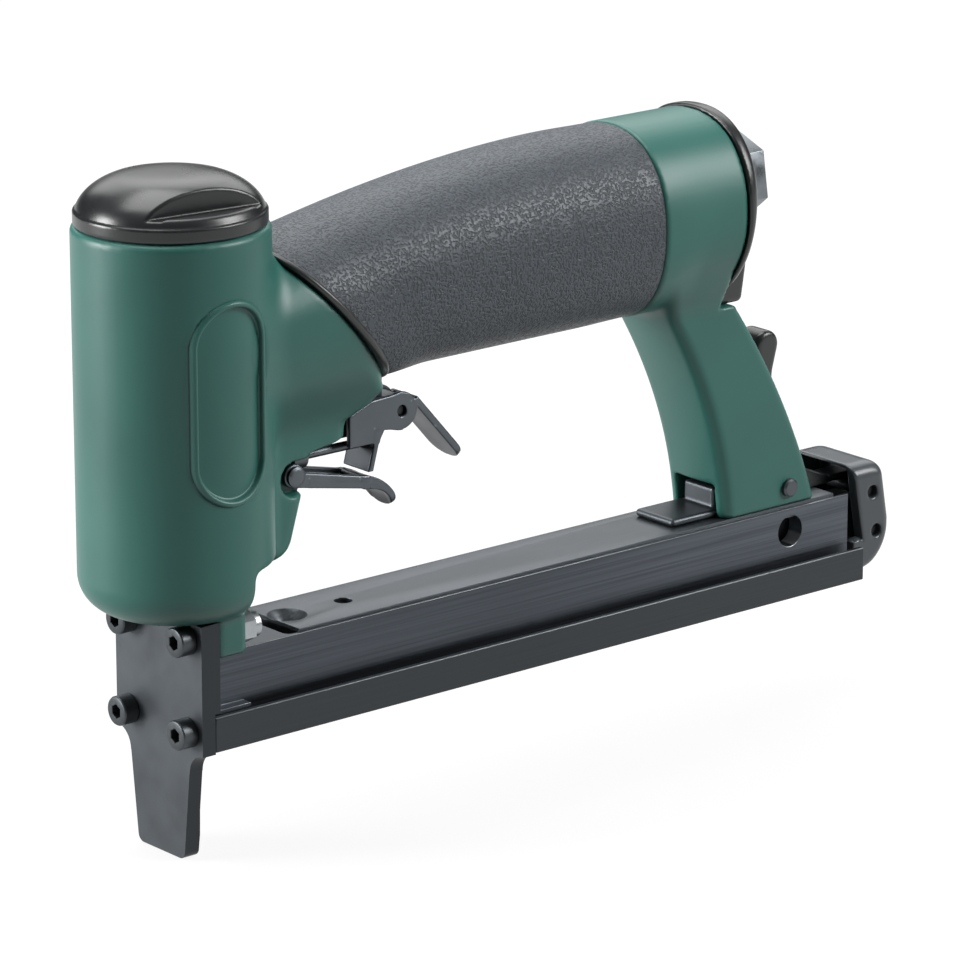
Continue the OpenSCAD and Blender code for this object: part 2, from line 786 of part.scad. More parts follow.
// Sunk sides for the trigger lever, and room for the rocker under the neck
module trigger_room() {
    for (s = [-1, 1])
        translate([0, s * (tongue_w / 2 + web_w), 0]) run_y(2 * web_w) {
            translate([trigger_x - trigger_pocket_lead, trigger_z]) circle(trigger_pocket_r);
            translate([trigger_x - trigger_pocket_lead, trigger_z - trigger_pocket_r])
                square([wide / 4, 2 * trigger_pocket_r]);
        }
    run_y(lever_w + 2 * rocker_room) polygon([
        [rocker_front_x - rocker_lead, rocker_foot_z],
        [rocker_front_x - rocker_lead, rocker_front_top_z + rocker_rise],
        [rocker_crown_x, rocker_crown_z + rocker_rise / 2 + rocker_room],
        [rocker_x + wide / 4, rocker_z + rocker_cheek_r + rocker_room],
        [rocker_x + wide / 4, rocker_foot_z]]);
}

module rocker_mount_seat(gap) {
    span([rocker_x - mount_nub_front - gap, -tongue_w / 2 - gap, rocker_z + mount_neck_z],
        [rocker_x - mount_nub_back + gap, tongue_w / 2 + gap, rocker_z + mount_nub_rise + mount_sunk + gap]);
}

module housing() {
    color(green) difference() {
        union() {
            difference() {
                barrel_solid();
                barrel_undercut();
            }
            handle_solid();
            skin([for (z = web_levels) web_ring(z)]);
            skin([for (t = leg_step_shares) leg_ring(leg_h * t)]);
            nose_lugs();
        }
        translate([0, 0, floor_z]) cylinder(d = barrel_bore_d, h = barrel_top_z, $fn = 96);
        span([blade_x - blade_t / 2 - track_gap, -track_w / 2 - track_gap, 0],
            [blade_x + blade_t / 2 + track_gap, track_w / 2 + track_gap, floor_z + over]);
        for (s = [-1, 1]) translate([0, s * screw_span / 2, upper_screw_z])
            bar_x(screw_hole_d, lug_back_x + over);
        label_cut();
        // Air chamber in the handle, open at the rear, and its passage to the barrel
        translate([chamber_front_x, 0, chamber_z]) bar_x(chamber_d, handle_l);
        translate([cylinder_d / 2, 0, passage_z]) bar_x(passage_d, chamber_front_x);
        // The end cap's tail seats behind the handle's rear face
        span([handle_l, -wide / 2, tail_foot_z], [handle_l + wide, wide / 2, barrel_top_z + over]);
        leg_slots();
        translate([latch_x, 0, latch_z]) bar_y(latch_pin_d + 2 * run_gap, wide);
        trigger_room();
        rocker_mount_seat(seat_gap);
        translate([trigger_x, 0, trigger_z]) bar_y(trigger_pin_d + 2 * run_gap, wide);
        translate([0, 0, rod_z]) {
            bar_x(rod_chamber_d, rod_chamber_back_x);
            bar_x(rod_d + 2 * run_gap, wide);
            translate([rod_bush_back_x - rod_bush_l - seat_gap, 0, 0])
                bar_x(rod_bush_d + 2 * run_gap, wide / 4);
        }
    }
}

module handle_grip() {
    inner = grip_t - sleeve_gap;
    color(rubber) difference() {
        skin_loop(concat(
            [handle_ring(grip_front_x + sleeve_gap, grip_lean(0), grip_edge_r)],
            [for (t = grip_step_shares) let (shift = t == 0 ? 1 : t == 1 ? -1 : 0)
                handle_ring(grip_x(t) + shift * (grip_edge_r + sleeve_gap), grip_lean(t), 0)],
            [handle_ring(grip_rear_x - sleeve_gap, 0, grip_edge_r),
                handle_ring(grip_rear_x - sleeve_gap, 0, inner)],
            [for (i = [len(grip_step_shares) - 2 : -1 : 1]) let (t = grip_step_shares[i])
                handle_ring(grip_x(t), grip_lean(t), inner)],
            [handle_ring(grip_front_x + sleeve_gap, grip_lean(0), inner)]));
        rocker_mount_seat(free_gap);
        trigger_room();
        translate([0, 0, barrel_foot_z]) cylinder(d = barrel_d + 2 * sleeve_gap, h = barrel_h, $fn = 96);
    }
}

module top_cap() {
    color(black) difference() {
        union() {
            rotate_extrude($fn = 96) {
                translate([0, cap_seat_z]) square([cap_r, cap_skirt_h]);
                translate([0, cap_seat_z]) square([cap_flat_r, cap_skirt_h + cap_edge_r]);
                translate([cap_flat_r, cap_skirt_z]) intersection() {
                    circle(cap_edge_r);
                    square(cap_edge_r);
                }
                intersection() {
                    translate([0, cap_top_z - cap_crown_r]) circle(cap_crown_r, $fn = 180);
                    translate([0, cap_skirt_z]) square([cap_flat_r, cap_crown_h]);
                }
            }
            translate([0, 0, cap_seat_z - cap_spigot_h]) cylinder(r = cap_spigot_r, h = cap_spigot_h + over);
        }
        translate([0, 0, cap_seat_z - cap_spigot_h - over])
            cylinder(r = cap_spigot_in_r, h = cap_step_z - cap_seat_z + cap_spigot_h + over);
        translate([0, 0, cap_seat_z]) cylinder(r = cap_hollow_r, h = cap_roof_z - cap_seat_z);
        o_ring(cap_spigot_r - ring_r, ring_r + ring_drop, cap_seat_z - cap_spigot_h / 2);
        rotate([0, 0, cap_turn]) {
            span([cap_ledge_x, -wide, cap_ledge_z], [wide, wide, cap_top_z + over]);
            span([0, -cap_slot_l / 2, cap_ledge_z + cap_slot_rise],
                [cap_ledge_x + over, cap_slot_l / 2, cap_ledge_z + cap_slot_rise + cap_slot_h]);
        }
    }
}

module cap_seal() {
    color(rubber) o_ring(cap_spigot_r - ring_r, ring_r, cap_seat_z - cap_spigot_h / 2);
}

sleeve_ring_z = [cylinder_top_z - flange_h / 2, collar_z + collar_h / 2];

module cylinder_sleeve() {
    color(steel) difference() {
        union() {
            translate([0, 0, floor_z + seat_gap])
                cylinder(d = cylinder_out_d, h = cylinder_top_z - floor_z - seat_gap);
            translate([0, 0, cylinder_top_z - flange_h]) cylinder(r = seat_r, h = flange_h);
            translate([0, 0, collar_z]) cylinder(r = seat_r, h = collar_h);
        }
        cylinder(d = cylinder_d, h = barrel_top_z);
        for (z = sleeve_ring_z) o_ring(seat_r - ring_r, ring_r + ring_drop, z);
    }
}

module sleeve_seals() {
    color(rubber) for (z = sleeve_ring_z) o_ring(seat_r - ring_r, ring_r, z);
}

module bumper() {
    color(rubber) difference() {
        translate([0, 0, floor_z + seat_gap]) cylinder(d = cylinder_d - 2 * free_gap, h = bumper_h);
        span([blade_x - blade_t - over, -track_w / 2 - over, floor_z - over],
            [blade_x + blade_t + over, track_w / 2 + over, bumper_top_z + over]);
    }
}

module end_cap() {
    proud = -end_cap_proud;
    color(black) difference() {
        union() {
            skin([for (q = [[end_cap_x, proud], [end_cap_back_x - end_cap_round, proud],
                    [end_cap_back_x - end_cap_round / 3, proud + end_cap_round / 3],
                    [end_cap_back_x, proud + end_cap_round]])
                [for (p = handle_ring(handle_l, 0, q[1])) [q[0], p[1], p[2]]]]);
            run_y(tail_w) polygon([
                [end_cap_x, tail_foot_z + seat_gap], [end_cap_back_x, tail_foot_z + seat_gap],
                [end_cap_back_x + tail_l - tail_slope - tail_step, tail_foot_z + tail_step],
                [end_cap_back_x + tail_l - tail_slope, tail_foot_z + 2 * tail_step],
                [end_cap_back_x + tail_l, tail_top_z - tail_step],
                [end_cap_back_x + tail_l - tail_step, tail_top_z], [end_cap_x, tail_top_z]]);
            translate([end_cap_x - end_spigot_l, 0, chamber_z])
                bar_x(chamber_d - 2 * run_gap, end_spigot_l + over);
        }
        translate([handle_l - wide / 2, 0, inlet_z]) bar_x(inlet_spigot_d + 2 * run_gap, wide);
    }
}

module air_inlet() {
    color(black) difference() {
        union() {
            translate([end_cap_back_x + seat_gap, 0, inlet_z]) rotate([inlet_turn, 0, 0])
                rotate([0, 90, 0]) cylinder(r = inlet_af / sqrt(3), h = inlet_l, $fn = 6);
            translate([end_cap_back_x - inlet_spigot_l, 0, inlet_z])
                bar_x(inlet_spigot_d, inlet_spigot_l + over);
        }
        translate([inlet_back_x - inlet_thread_l, 0, inlet_z])
            bar_x(inlet_thread_d, inlet_thread_l + over);
        translate([0, 0, inlet_z]) bar_x(inlet_hole_d, inlet_back_x);
        translate([end_cap_x + end_cap_t / 2, 0, inlet_z]) rotate([0, 90, 0])
            o_ring(inlet_spigot_d / 2 - inlet_ring_r, inlet_ring_r + ring_drop, 0);
    }
}

module inlet_seal() {
    color(rubber) translate([end_cap_x + end_cap_t / 2, 0, inlet_z]) rotate([0, 90, 0])
        o_ring(inlet_spigot_d / 2 - inlet_ring_r, inlet_ring_r, 0);
}

// Nose

// Front view of the plate: upright sides, hollow shoulders and a tapered tip with round corners
module nose_outline() {
    difference() {
        translate([-plate_w / 2, shoulder_z - shoulder_r])
            square([plate_w, plate_top_z - shoulder_z + shoulder_r]);
        for (s = [-1, 1]) translate([s * plate_w / 2, shoulder_z - shoulder_r]) circle(shoulder_r);
    }
    polygon([[tip_round - tip_w / 2, 0], [tip_w / 2 - tip_round, 0], [tip_w / 2, tip_round],
        [tip_root_w / 2, shoulder_z - shoulder_r + over], [-tip_root_w / 2, shoulder_z - shoulder_r + over],
        [-tip_w / 2, tip_round]]);
    for (s = [-1, 1]) translate([s * (tip_w / 2 - tip_round), tip_round]) circle(tip_round);
}

module nose_screw_places() {
    for (s = [-1, 1], z = [lower_screw_z, upper_screw_z]) translate([0, s * screw_span / 2, z]) children();
}

module nose_plate() {
    color(oxide) difference() {
        run_x(-plate_lead, plate_t) nose_outline();
        span([plate_back_x - track_d, -track_w / 2, -over],
            [plate_back_x + over, track_w / 2, plate_top_z + over]);
        nose_screw_places() translate([-plate_lead - over, 0, 0]) bar_x(screw_hole_d, plate_t + 2 * over);
    }
}

module drive_guide() {
    window_foot_z = rail_floor_z + free_gap;
    color(oxide) difference() {
        union() {
            run_x(plate_back_x, guide_t) {
                translate([-plate_w / 2 + free_gap, guide_mid_top_z])
                    square([plate_w - 2 * free_gap, plate_top_z - guide_mid_top_z]);
                translate([-guide_mid_w / 2, window_foot_z])
                    square([guide_mid_w, guide_mid_top_z - window_foot_z]);
            }
            // Tongue down to the tip, thinner towards its end
            intersection() {
                run_x(plate_back_x, guide_t) intersection() {
                    nose_outline();
                    translate([-guide_tongue_w / 2, 0]) square([guide_tongue_w, window_foot_z + over]);
                }
                run_y(wide) polygon([[plate_back_x, 0], [plate_back_x + guide_tongue_end_t, 0],
                    [plate_back_x + guide_tongue_top_t, window_foot_z],
                    [plate_back_x + guide_t, window_foot_z],
                    [plate_back_x + guide_t, window_foot_z + over], [plate_back_x, window_foot_z + over]]);
            }
        }
        span([plate_back_x - over, -passage_w / 2, window_foot_z + over],
            [guide_back_x + over, passage_w / 2, track_roof_z]);
        nose_screw_places() translate([plate_back_x - over, 0, 0]) bar_x(screw_hole_d, guide_t + 2 * over);
    }
}

module socket_screw(l) {
    translate([-screw_head_h, 0, 0]) difference() {
        bar_x(screw_head_d, screw_head_h);
        translate([-over, 0, 0]) rotate([0, 90, 0])
            cylinder(r = screw_socket_af / sqrt(3), h = screw_socket_depth + over, $fn = 6);
    }
    bar_x(screw_d, l);
}

nut_x = lug_back_x + seat_gap;

module nose_screws() {
    upper_l = nut_x + nut_h + nut_collar_h + screw_tail + plate_lead;
    color(oxide) for (s = [-1, 1]) {
        translate([-plate_lead - seat_gap, s * screw_span / 2, upper_screw_z]) socket_screw(upper_l);
        translate([-plate_lead - seat_gap, s * screw_span / 2, lower_screw_z]) socket_screw(lower_screw_l);
    }
}

module nose_nuts() {
    color(steel) for (s = [-1, 1]) translate([nut_x, s * screw_span / 2, upper_screw_z]) difference() {
        union() {
            rotate([0, 90, 0]) cylinder(r = nut_af / sqrt(3), h = nut_h, $fn = 6);
            bar_x(nut_collar_d, nut_h + nut_collar_h);
        }
        translate([-over, 0, 0]) bar_x(screw_d + 2 * thread_gap, nut_h + nut_collar_h + 2 * over);
    }
}

// Magazine

module magazine_body() {
    color(oxide) difference() {
        union() {
            run_x(magazine_front_x, magazine_l - magazine_front_x) {
                translate([-magazine_w / 2, magazine_foot_z])
                    square([magazine_w, magazine_top_z - magazine_foot_z]);
                translate([-flange_w / 2, magazine_foot_z]) square([flange_w, flange_t]);
            }
            span([magazine_front_x, -flange_w / 2, magazine_foot_z],
                [magazine_front_x + head_l, flange_w / 2, head_top_z]);
        }
        // Staple passage, open below, and the pocket for the bar above it
        span([magazine_front_x - over, -passage_w / 2, magazine_foot_z - over],
            [magazine_l + over, passage_w / 2, track_roof_z]);
        span([pocket_front_x + pocket_round, -pocket_w / 2, track_roof_z],
            [magazine_l + over, pocket_w / 2, magazine_top_z + over]);
        span([pocket_front_x, pocket_round - pocket_w / 2, track_roof_z],
            [pocket_front_x + pocket_round + over, pocket_w / 2 - pocket_round, magazine_top_z + over]);
        for (s = [-1, 1])
            translate([pocket_front_x + pocket_round, s * (pocket_w / 2 - pocket_round), track_roof_z])
                cylinder(r = pocket_round, h = magazine_top_z);
        for (s = [-1, 1]) translate([magazine_front_x - over, s * screw_span / 2, lower_screw_z])
            bar_x(screw_d + 2 * thread_gap, lower_screw_l);
        translate([side_hole_x, 0, side_hole_z]) bar_y(side_hole_d, wide);
    }
}

module top_bar() {
    foot_z = bar_top_z - bar_t;
    color(oxide) difference() {
        run_y(bar_w) polygon([[bar_front_x, foot_z], [bar_back_x, foot_z], [bar_back_x, bar_top_z],
            [bar_front_x + bar_bevel, bar_top_z], [bar_front_x, bar_top_z - bar_bevel]]);
        translate([bar_sink_x, 0, foot_z - over]) cylinder(d = bar_sink_hole_d, h = bar_t + 2 * over);
        translate([bar_sink_x, 0, bar_top_z - bar_sink_h])
            cylinder(d1 = bar_sink_hole_d, d2 = bar_sink_d, h = bar_sink_h);
        translate([bar_hole_x, 0, foot_z - over]) cylinder(d = bar_hole_d, h = bar_t + 2 * over);
        translate([foot_screw_x, 0, foot_z - over]) cylinder(d = screw_hole_d, h = bar_t + 2 * over);
        translate([foot_screw_x, 0, foot_z - seat_gap])
            cylinder(d1 = foot_screw_head_d + 2 * seat_gap, d2 = screw_hole_d,
                h = foot_screw_head_h + seat_gap);
    }
}

module foot_bracket() {
    foot_z = leg_foot_z;
    color(black) difference() {
        union() {
            span([bracket_front_x, -bracket_w / 2, foot_z],
                [bracket_plate_back_x, bracket_w / 2, foot_z + bracket_plate_t]);
            span([bracket_block_x, -bracket_block_w / 2, foot_z],
                [bracket_block_x + bracket_block_l, bracket_block_w / 2, bracket_block_top_z]);
            for (s = [-1, 1]) {
                out_y = s * bracket_w / 2;
                in_y = s * (bracket_w / 2 - bracket_ear_t);
                span([bracket_block_x + bracket_block_l / 2, min(out_y, in_y), foot_z],
                    [bracket_ear_back_x, max(out_y, in_y), bracket_top_z]);
            }
        }
        translate([latch_x, 0, latch_z]) bar_y(latch_pin_d + 2 * run_gap, wide);
        translate([foot_screw_x, 0, foot_z - over])
            cylinder(d = screw_d + 2 * thread_gap, h = bracket_block_top_z - foot_z);
    }
}

module foot_screw() {
    foot_z = bar_top_z - bar_t;
    color(oxide) translate([foot_screw_x, 0, foot_z]) {
        cylinder(d1 = foot_screw_head_d, d2 = screw_d, h = foot_screw_head_h);
        cylinder(d = screw_d, h = bracket_block_top_z - foot_z - 2 * over);
    }
}

// Trigger

// Side view of the finger lever: ears at the pin, a straight channel and a curled tip
trigger_foot_z = trigger_z - trigger_ear_r;

trigger_end_x = trigger_x + trigger_l;
trigger_end_z = trigger_foot_z - trigger_drop;
trigger_root_z = trigger_foot_z - trigger_drop * trigger_ear_r / trigger_l;

module trigger_side() {
    translate([trigger_x, trigger_z]) circle(trigger_ear_r);
    polygon([[trigger_x, trigger_foot_z + trigger_side_h], [trigger_x, trigger_foot_z],
        [trigger_end_x, trigger_end_z], [trigger_end_x, trigger_end_z + trigger_wall_h]]);
}

module trigger_floor() {
    tip_from = trigger_tip_start + trigger_tip_lap;
    polygon([[trigger_x + trigger_ear_r + lever_t, trigger_root_z], [trigger_end_x, trigger_end_z],
        [trigger_end_x, trigger_end_z + lever_t],
        [trigger_x + trigger_ear_r + lever_t, trigger_root_z + lever_t]]);
    // The tip curls down on an arc
    translate([trigger_end_x - trigger_tip_r * cos(trigger_tip_start),
            trigger_end_z + trigger_wall_h - trigger_tip_sink - trigger_tip_r * sin(trigger_tip_start)])
        intersection() {
            difference() {
                circle(trigger_tip_r);
                circle(trigger_tip_r - lever_t);
            }
            polygon([[0, 0], 2 * trigger_tip_r * [cos(tip_from), sin(tip_from)],
                2 * trigger_tip_r * [1, 1],
                2 * trigger_tip_r * [cos(trigger_tip_end), sin(trigger_tip_end)]]);
        }
    polygon([[trigger_end_x - lever_t, trigger_end_z], [trigger_end_x, trigger_end_z],
        [trigger_end_x + lever_t / 2, trigger_end_z + trigger_wall_h / 2],
        [trigger_end_x, trigger_end_z + trigger_wall_h - 2 * trigger_tip_sink],
        [trigger_end_x - lever_t, trigger_end_z + trigger_wall_h - 2 * trigger_tip_sink]]);
}

// Plan view that rounds the corners of a lever's free end
module round_end(end_x, foot_z, h) {
    r = lever_w * end_round_share;
    translate([0, 0, foot_z]) linear_extrude(h) {
        for (s = [-1, 1]) translate([end_x - r, s * (lever_w / 2 - r)]) circle(r);
        translate([0, -lever_w / 2]) square([end_x - r, lever_w]);
        translate([0, r - lever_w / 2]) square([end_x, lever_w - 2 * r]);
    }
}

trigger_tip_x = trigger_end_x + trigger_tip_r * (cos(trigger_tip_end) - cos(trigger_tip_start));

module trigger_lever() {
    color(oxide) difference() {
        union() {
            for (s = [-1, 1]) translate([0, s * (lever_w - lever_t) / 2, 0]) run_y(lever_t) trigger_side();
            intersection() {
                run_y(lever_w) trigger_floor();
                round_end(trigger_tip_x, trigger_z - wide / 2, wide);
            }
        }
        translate([trigger_x, 0, trigger_z]) bar_y(trigger_pin_d + 2 * run_gap, wide);
    }
}

module trigger_pin() {
    color(steel) translate([trigger_x, 0, trigger_z]) {
        bar_y(trigger_pin_d, lever_w + 2 * free_gap);
        for (s = [-1, 1]) translate([0, s * (lever_w / 2 + free_gap + trigger_pin_head_h / 2), 0])
            bar_y(trigger_pin_head_d, trigger_pin_head_h);
    }
}

// Side view of the rocker's cheeks
module rocker_cheek() {
    translate([rocker_x, rocker_z]) circle(rocker_cheek_r);
    polygon([[rocker_front_x, rocker_front_top_z], [rocker_crown_x, rocker_crown_z],
        [rocker_x, rocker_z + rocker_cheek_r], [rocker_x, rocker_z - rocker_cheek_r],
        [rocker_back_x, rocker_z - rocker_cheek_r + lever_t / 2], [rocker_knee_x, rocker_front_foot_z],
        [rocker_front_x, rocker_front_foot_z]]);
    rocker_foot();
}

// Cross wall below the cheeks: the finger lever lifts it and the valve rod bears on it
module rocker_foot() {
    polygon([[rocker_foot_x - lever_t, rocker_foot_z], [rocker_foot_x, rocker_foot_z],
        [rocker_knee_x, rocker_front_foot_z], [rocker_knee_x, rocker_front_foot_z + 2 * lever_t],
        [rocker_knee_x - lever_t, rocker_front_foot_z + 2 * lever_t],
        [rocker_knee_x - lever_t, rocker_front_foot_z]]);
}

// The blade starts behind the cheeks and runs down and back
module rocker_blade() {
    a = atan2(-rocker_blade_drop, rocker_blade_reach);
    l = norm([rocker_blade_reach, rocker_blade_drop]);
    translate([rocker_blade_x, rocker_blade_z]) rotate(a) square([l, rocker_blade_t]);
}

rocker_tip_x = rocker_blade_x + rocker_blade_reach + rocker_blade_t / 2;

module trigger_rocker() {
    color(oxide) difference() {
        union() {
            for (s = [-1, 1]) translate([0, s * (lever_w - lever_t) / 2, 0]) run_y(lever_t) rocker_cheek();
            run_y(lever_w) rocker_foot();
            difference() {
                intersection() {
                    run_y(lever_w) rocker_blade();
                    round_end(rocker_tip_x, rocker_z - wide / 2, wide);
                }
                translate([rocker_x, 0, rocker_z]) bar_y(2 * rocker_cheek_r + free_gap, lever_in_w);
            }
        }
        translate([rocker_x, 0, rocker_z]) bar_y(rocker_pin_d + 2 * run_gap, wide);
    }
}

// Steel tongue let into the handle's underside, which carries the rocker's pin
module rocker_mount() {
    color(black) difference() {
        union() {
            rocker_mount_seat(0);
            run_y(tongue_w) {
                translate([rocker_x, rocker_z]) circle(mount_back);
                translate([rocker_x - mount_nub_front, rocker_z])
                    square([mount_nub_front, 2 * mount_back - mount_neck_z]);
            }
        }
        translate([rocker_x, 0, rocker_z]) bar_y(rocker_pin_d + 2 * run_gap, wide);
    }
}

module rocker_pin() {
    color(oxide) translate([rocker_x, 0, rocker_z]) bar_y(rocker_pin_d, lever_w - 2 * rocker_sink);
}

rod_back_x = rocker_knee_x - lever_t - rod_end_gap;

module valve_rod() {
    color(oxide) difference() {
        union() {
            translate([rod_front_x, 0, rod_z]) bar_x(rod_d, rod_back_x - rod_front_x);
            translate([rod_front_x + rod_collar_t, 0, rod_z]) bar_x(rod_collar_d, rod_collar_t);
        }
        translate([rod_front_x + 3 * rod_collar_t - rod_ring_r, 0, rod_z]) rotate([0, 90, 0])
            o_ring(rod_d / 2 + rod_ring_r / 2, rod_ring_r + ring_drop, 0);
    }
}

module rod_bush() {
    color("#b59a55") translate([rod_bush_back_x - rod_bush_l, 0, rod_z]) difference() {
        bar_x(rod_bush_d, rod_bush_l);
        translate([-over, 0, 0]) bar_x(rod_d + 2 * run_gap, rod_bush_l + 2 * over);
    }
}

module rod_seal() {
    color(rubber) translate([rod_front_x + 3 * rod_collar_t - rod_ring_r, 0, rod_z]) rotate([0, 90, 0])
        o_ring(rod_d / 2 + rod_ring_r / 2, rod_ring_r, 0);
}

// Pushes the rod back towards the rocker
module rod_spring() {
    color(steel) translate([barrel_bore_d / 2 + free_gap, 0, rod_z]) rotate([0, 90, 0])
        tube_z(rod_chamber_d / 2 - free_gap, rod_ring_r, 0,
            rod_front_x + rod_collar_t - barrel_bore_d / 2 - 2 * free_gap);
}

// Drive unit

module piston() {
    color(steel) difference() {
        translate([0, 0, piston_foot_z]) cylinder(d = cylinder_d - 2 * run_gap, h = piston_h);
        o_ring(cylinder_d / 2 - run_gap - piston_ring_r, piston_ring_r + ring_drop, piston_ring_z);
        span([blade_x - blade_t / 2 - run_gap, -blade_w / 2 - blade_slot_gap, piston_foot_z - over],
            [blade_x + blade_t / 2 + run_gap, blade_w / 2 + blade_slot_gap, blade_top_z + run_gap]);
        translate([-driver_pin_l / 2 - wide / 2, 0, driver_pin_z])
            bar_x(driver_pin_d + 2 * run_gap, driver_pin_l + wide);
    }
}

module piston_seal() {
    color(rubber) o_ring(cylinder_d / 2 - run_gap - piston_ring_r, piston_ring_r, piston_ring_z);
}

module driver_blade() {
    color(steel) difference() {
        span([blade_x - blade_t / 2, -blade_w / 2, blade_foot_z],
            [blade_x + blade_t / 2, blade_w / 2, blade_top_z]);
        translate([-wide / 2, 0, driver_pin_z]) bar_x(driver_pin_d + 2 * run_gap, wide);
    }
}

module driver_pin() {
    color(steel) translate([-driver_pin_l / 2, 0, driver_pin_z]) bar_x(driver_pin_d, driver_pin_l);
}

module head_valve() {
    color(black) difference() {
        translate([0, 0, head_valve_z]) cylinder(r = head_valve_r, h = head_valve_t);
        o_ring(head_valve_r - head_valve_ring_r, head_valve_ring_r + ring_drop,
            head_valve_z + head_valve_t / 2);
    }
}

module head_valve_seal() {
    color(rubber) o_ring(head_valve_r - head_valve_ring_r, head_valve_ring_r,
        head_valve_z + head_valve_t / 2);
}

module head_valve_spring() {
    foot_z = head_valve_z + head_valve_t + seat_gap;
    color(steel) tube_z(head_spring_r, head_spring_wire, foot_z, cap_roof_z - foot_z - seat_gap);
}

// Latch

module latch_lever() {
    thumb_x = latch_x + latch_thumb_lean;
    waist_x = latch_x + latch_waist_lean;
    color(black) difference() {
        union() {
            run_y(latch_w) {
                translate([latch_x, latch_z]) circle(latch_hub_r);
                polygon([[latch_x - latch_root_t / 2, latch_z], [latch_x + latch_root_t / 2, latch_z],
                    [waist_x + latch_waist_t / 2, latch_waist_z], [thumb_x + latch_thumb_r, latch_thumb_z],
                    [thumb_x - latch_thumb_r, latch_thumb_z], [waist_x - latch_waist_t / 2, latch_waist_z]]);
                translate([thumb_x, latch_thumb_z]) circle(latch_thumb_r);
            }
            run_y(latch_hook_w) polygon([[latch_x, latch_z + latch_hub_r - latch_hook_t],
                [latch_x + latch_hub_r, latch_hook_foot_z],
                [latch_hook_back_x, latch_hook_foot_z], [latch_hook_back_x, latch_hook_foot_z + latch_hook_t],
                [cap_front_x, latch_hook_foot_z + latch_hook_t],
                [latch_x + latch_hub_r, latch_z + latch_hub_r]]);
        }
        translate([latch_x, 0, latch_z]) bar_y(latch_pin_d + 2 * run_gap, wide);
    }
}

module latch_pin() {
    color(oxide) translate([latch_x, 0, latch_z]) bar_y(latch_pin_d, leg_w + 2 * latch_pin_proud);
}

// Pushes the thumb lever back
module latch_spring() {
    front_x = latch_slot_x(latch_spring_z - latch_spring_r) + seat_gap;
    back_x = latch_x - latch_root_t / 2 - free_gap
        + latch_waist_lean * (latch_spring_z + latch_spring_r - latch_z) / (latch_waist_z - latch_z);
    color(steel) translate([front_x, 0, latch_spring_z]) rotate([0, 90, 0])
        tube_z(latch_spring_r, latch_spring_wire, 0, back_x - front_x);
}

// Magazine slide

module slide_rail() {
    color(oxide) difference() {
        run_x(rail_front_x, rail_back_x - rail_front_x) difference() {
            translate([-rail_w / 2, nose_reach]) square([rail_w, rail_h]);
            translate([rail_t - rail_w / 2, rail_floor_z]) square([rail_w - 2 * rail_t, rail_h]);
        }
        // Clears the guide's tongue
        span([rail_front_x - over, -guide_tongue_w / 2 - rail_notch_gap, nose_reach - over],
            [guide_back_x + rail_notch_gap, guide_tongue_w / 2 + rail_notch_gap, rail_floor_z + over]);
    }
}

// Side view of the cap: upright front, leaning upper back, round lower back
module slide_cap_side() {
    back_x = cap_front_x + slide_cap_l;
    intersection() {
        union() {
            translate([cap_front_x, slide_cap_mid_z])
                square([slide_cap_l - slide_cap_upper_lean, slide_cap_top_z - slide_cap_mid_z]);
            polygon([[cap_front_x, slide_cap_mid_z], [back_x, slide_cap_mid_z],
                [back_x - slide_cap_upper_lean, slide_cap_top_z - slide_cap_upper_r],
                [cap_front_x, slide_cap_top_z]]);
            translate([cap_front_x, nose_reach])
                square([slide_cap_l - slide_cap_lower_r, slide_cap_mid_z - nose_reach]);
            translate([back_x - slide_cap_lower_r, nose_reach + slide_cap_lower_r]) circle(slide_cap_lower_r);
            translate([cap_front_x, nose_reach + slide_cap_lower_r])
                square([slide_cap_l, slide_cap_mid_z - nose_reach - slide_cap_lower_r]);
        }
        // The front edge rakes back towards the rail
        polygon([[cap_front_x, nose_reach], [back_x, nose_reach], [back_x, slide_cap_top_z],
            [cap_front_x, slide_cap_top_z], [cap_front_x + slide_cap_rake, rail_top_z + free_gap],
            [cap_front_x, rail_top_z + free_gap]]);
    }
}

// End view of the cap, with round shoulders
module slide_cap_end() {
    w = slide_cap_w / 2;
    for (s = [-1, 1]) {
        translate([s * (w - slide_cap_shoulder_r), slide_cap_top_z - slide_cap_shoulder_r])
            circle(slide_cap_shoulder_r);
        translate([s * (w - slide_cap_heel_r), nose_reach + slide_cap_heel_r]) circle(slide_cap_heel_r);
    }
    translate([-w, nose_reach + slide_cap_heel_r])
        square([2 * w, slide_cap_top_z - slide_cap_shoulder_r - nose_reach - slide_cap_heel_r]);
    translate([slide_cap_shoulder_r - w, nose_reach])
        square([2 * w - 2 * slide_cap_shoulder_r, slide_cap_top_z - nose_reach]);
    translate([slide_cap_heel_r - w, nose_reach]) square([2 * w - 2 * slide_cap_heel_r, 2 * slide_cap_heel_r]);
}

module slide_cap() {
    back_x = cap_front_x + slide_cap_l - slide_cap_back;
    in_w = slide_cap_w - 2 * slide_cap_wall;
    color(black) difference() {
        intersection() {
            run_y(slide_cap_w) slide_cap_side();
            run_x(cap_front_x, slide_cap_l) slide_cap_end();
        }
        span([cap_front_x - over, -in_w / 2, rail_floor_z],
            [back_x - slide_cap_upper_lean, in_w / 2, slide_cap_top_z - slide_cap_roof]);
        span([cap_front_x - over, -in_w / 2, cap_pin_z - slide_pin_d], [back_x, in_w / 2, magazine_top_z]);
        for (p = [[catch_x, catch_z], [cap_pin_x, cap_pin_z]])
            translate([p[0], 0, p[1]]) bar_y(slide_pin_d + 2 * run_gap, wide);
    }
}

module catch_pin() {
    color(oxide) translate([catch_x, 0, catch_z]) bar_y(slide_pin_d, slide_cap_w - 2 * slide_pin_sink);
}

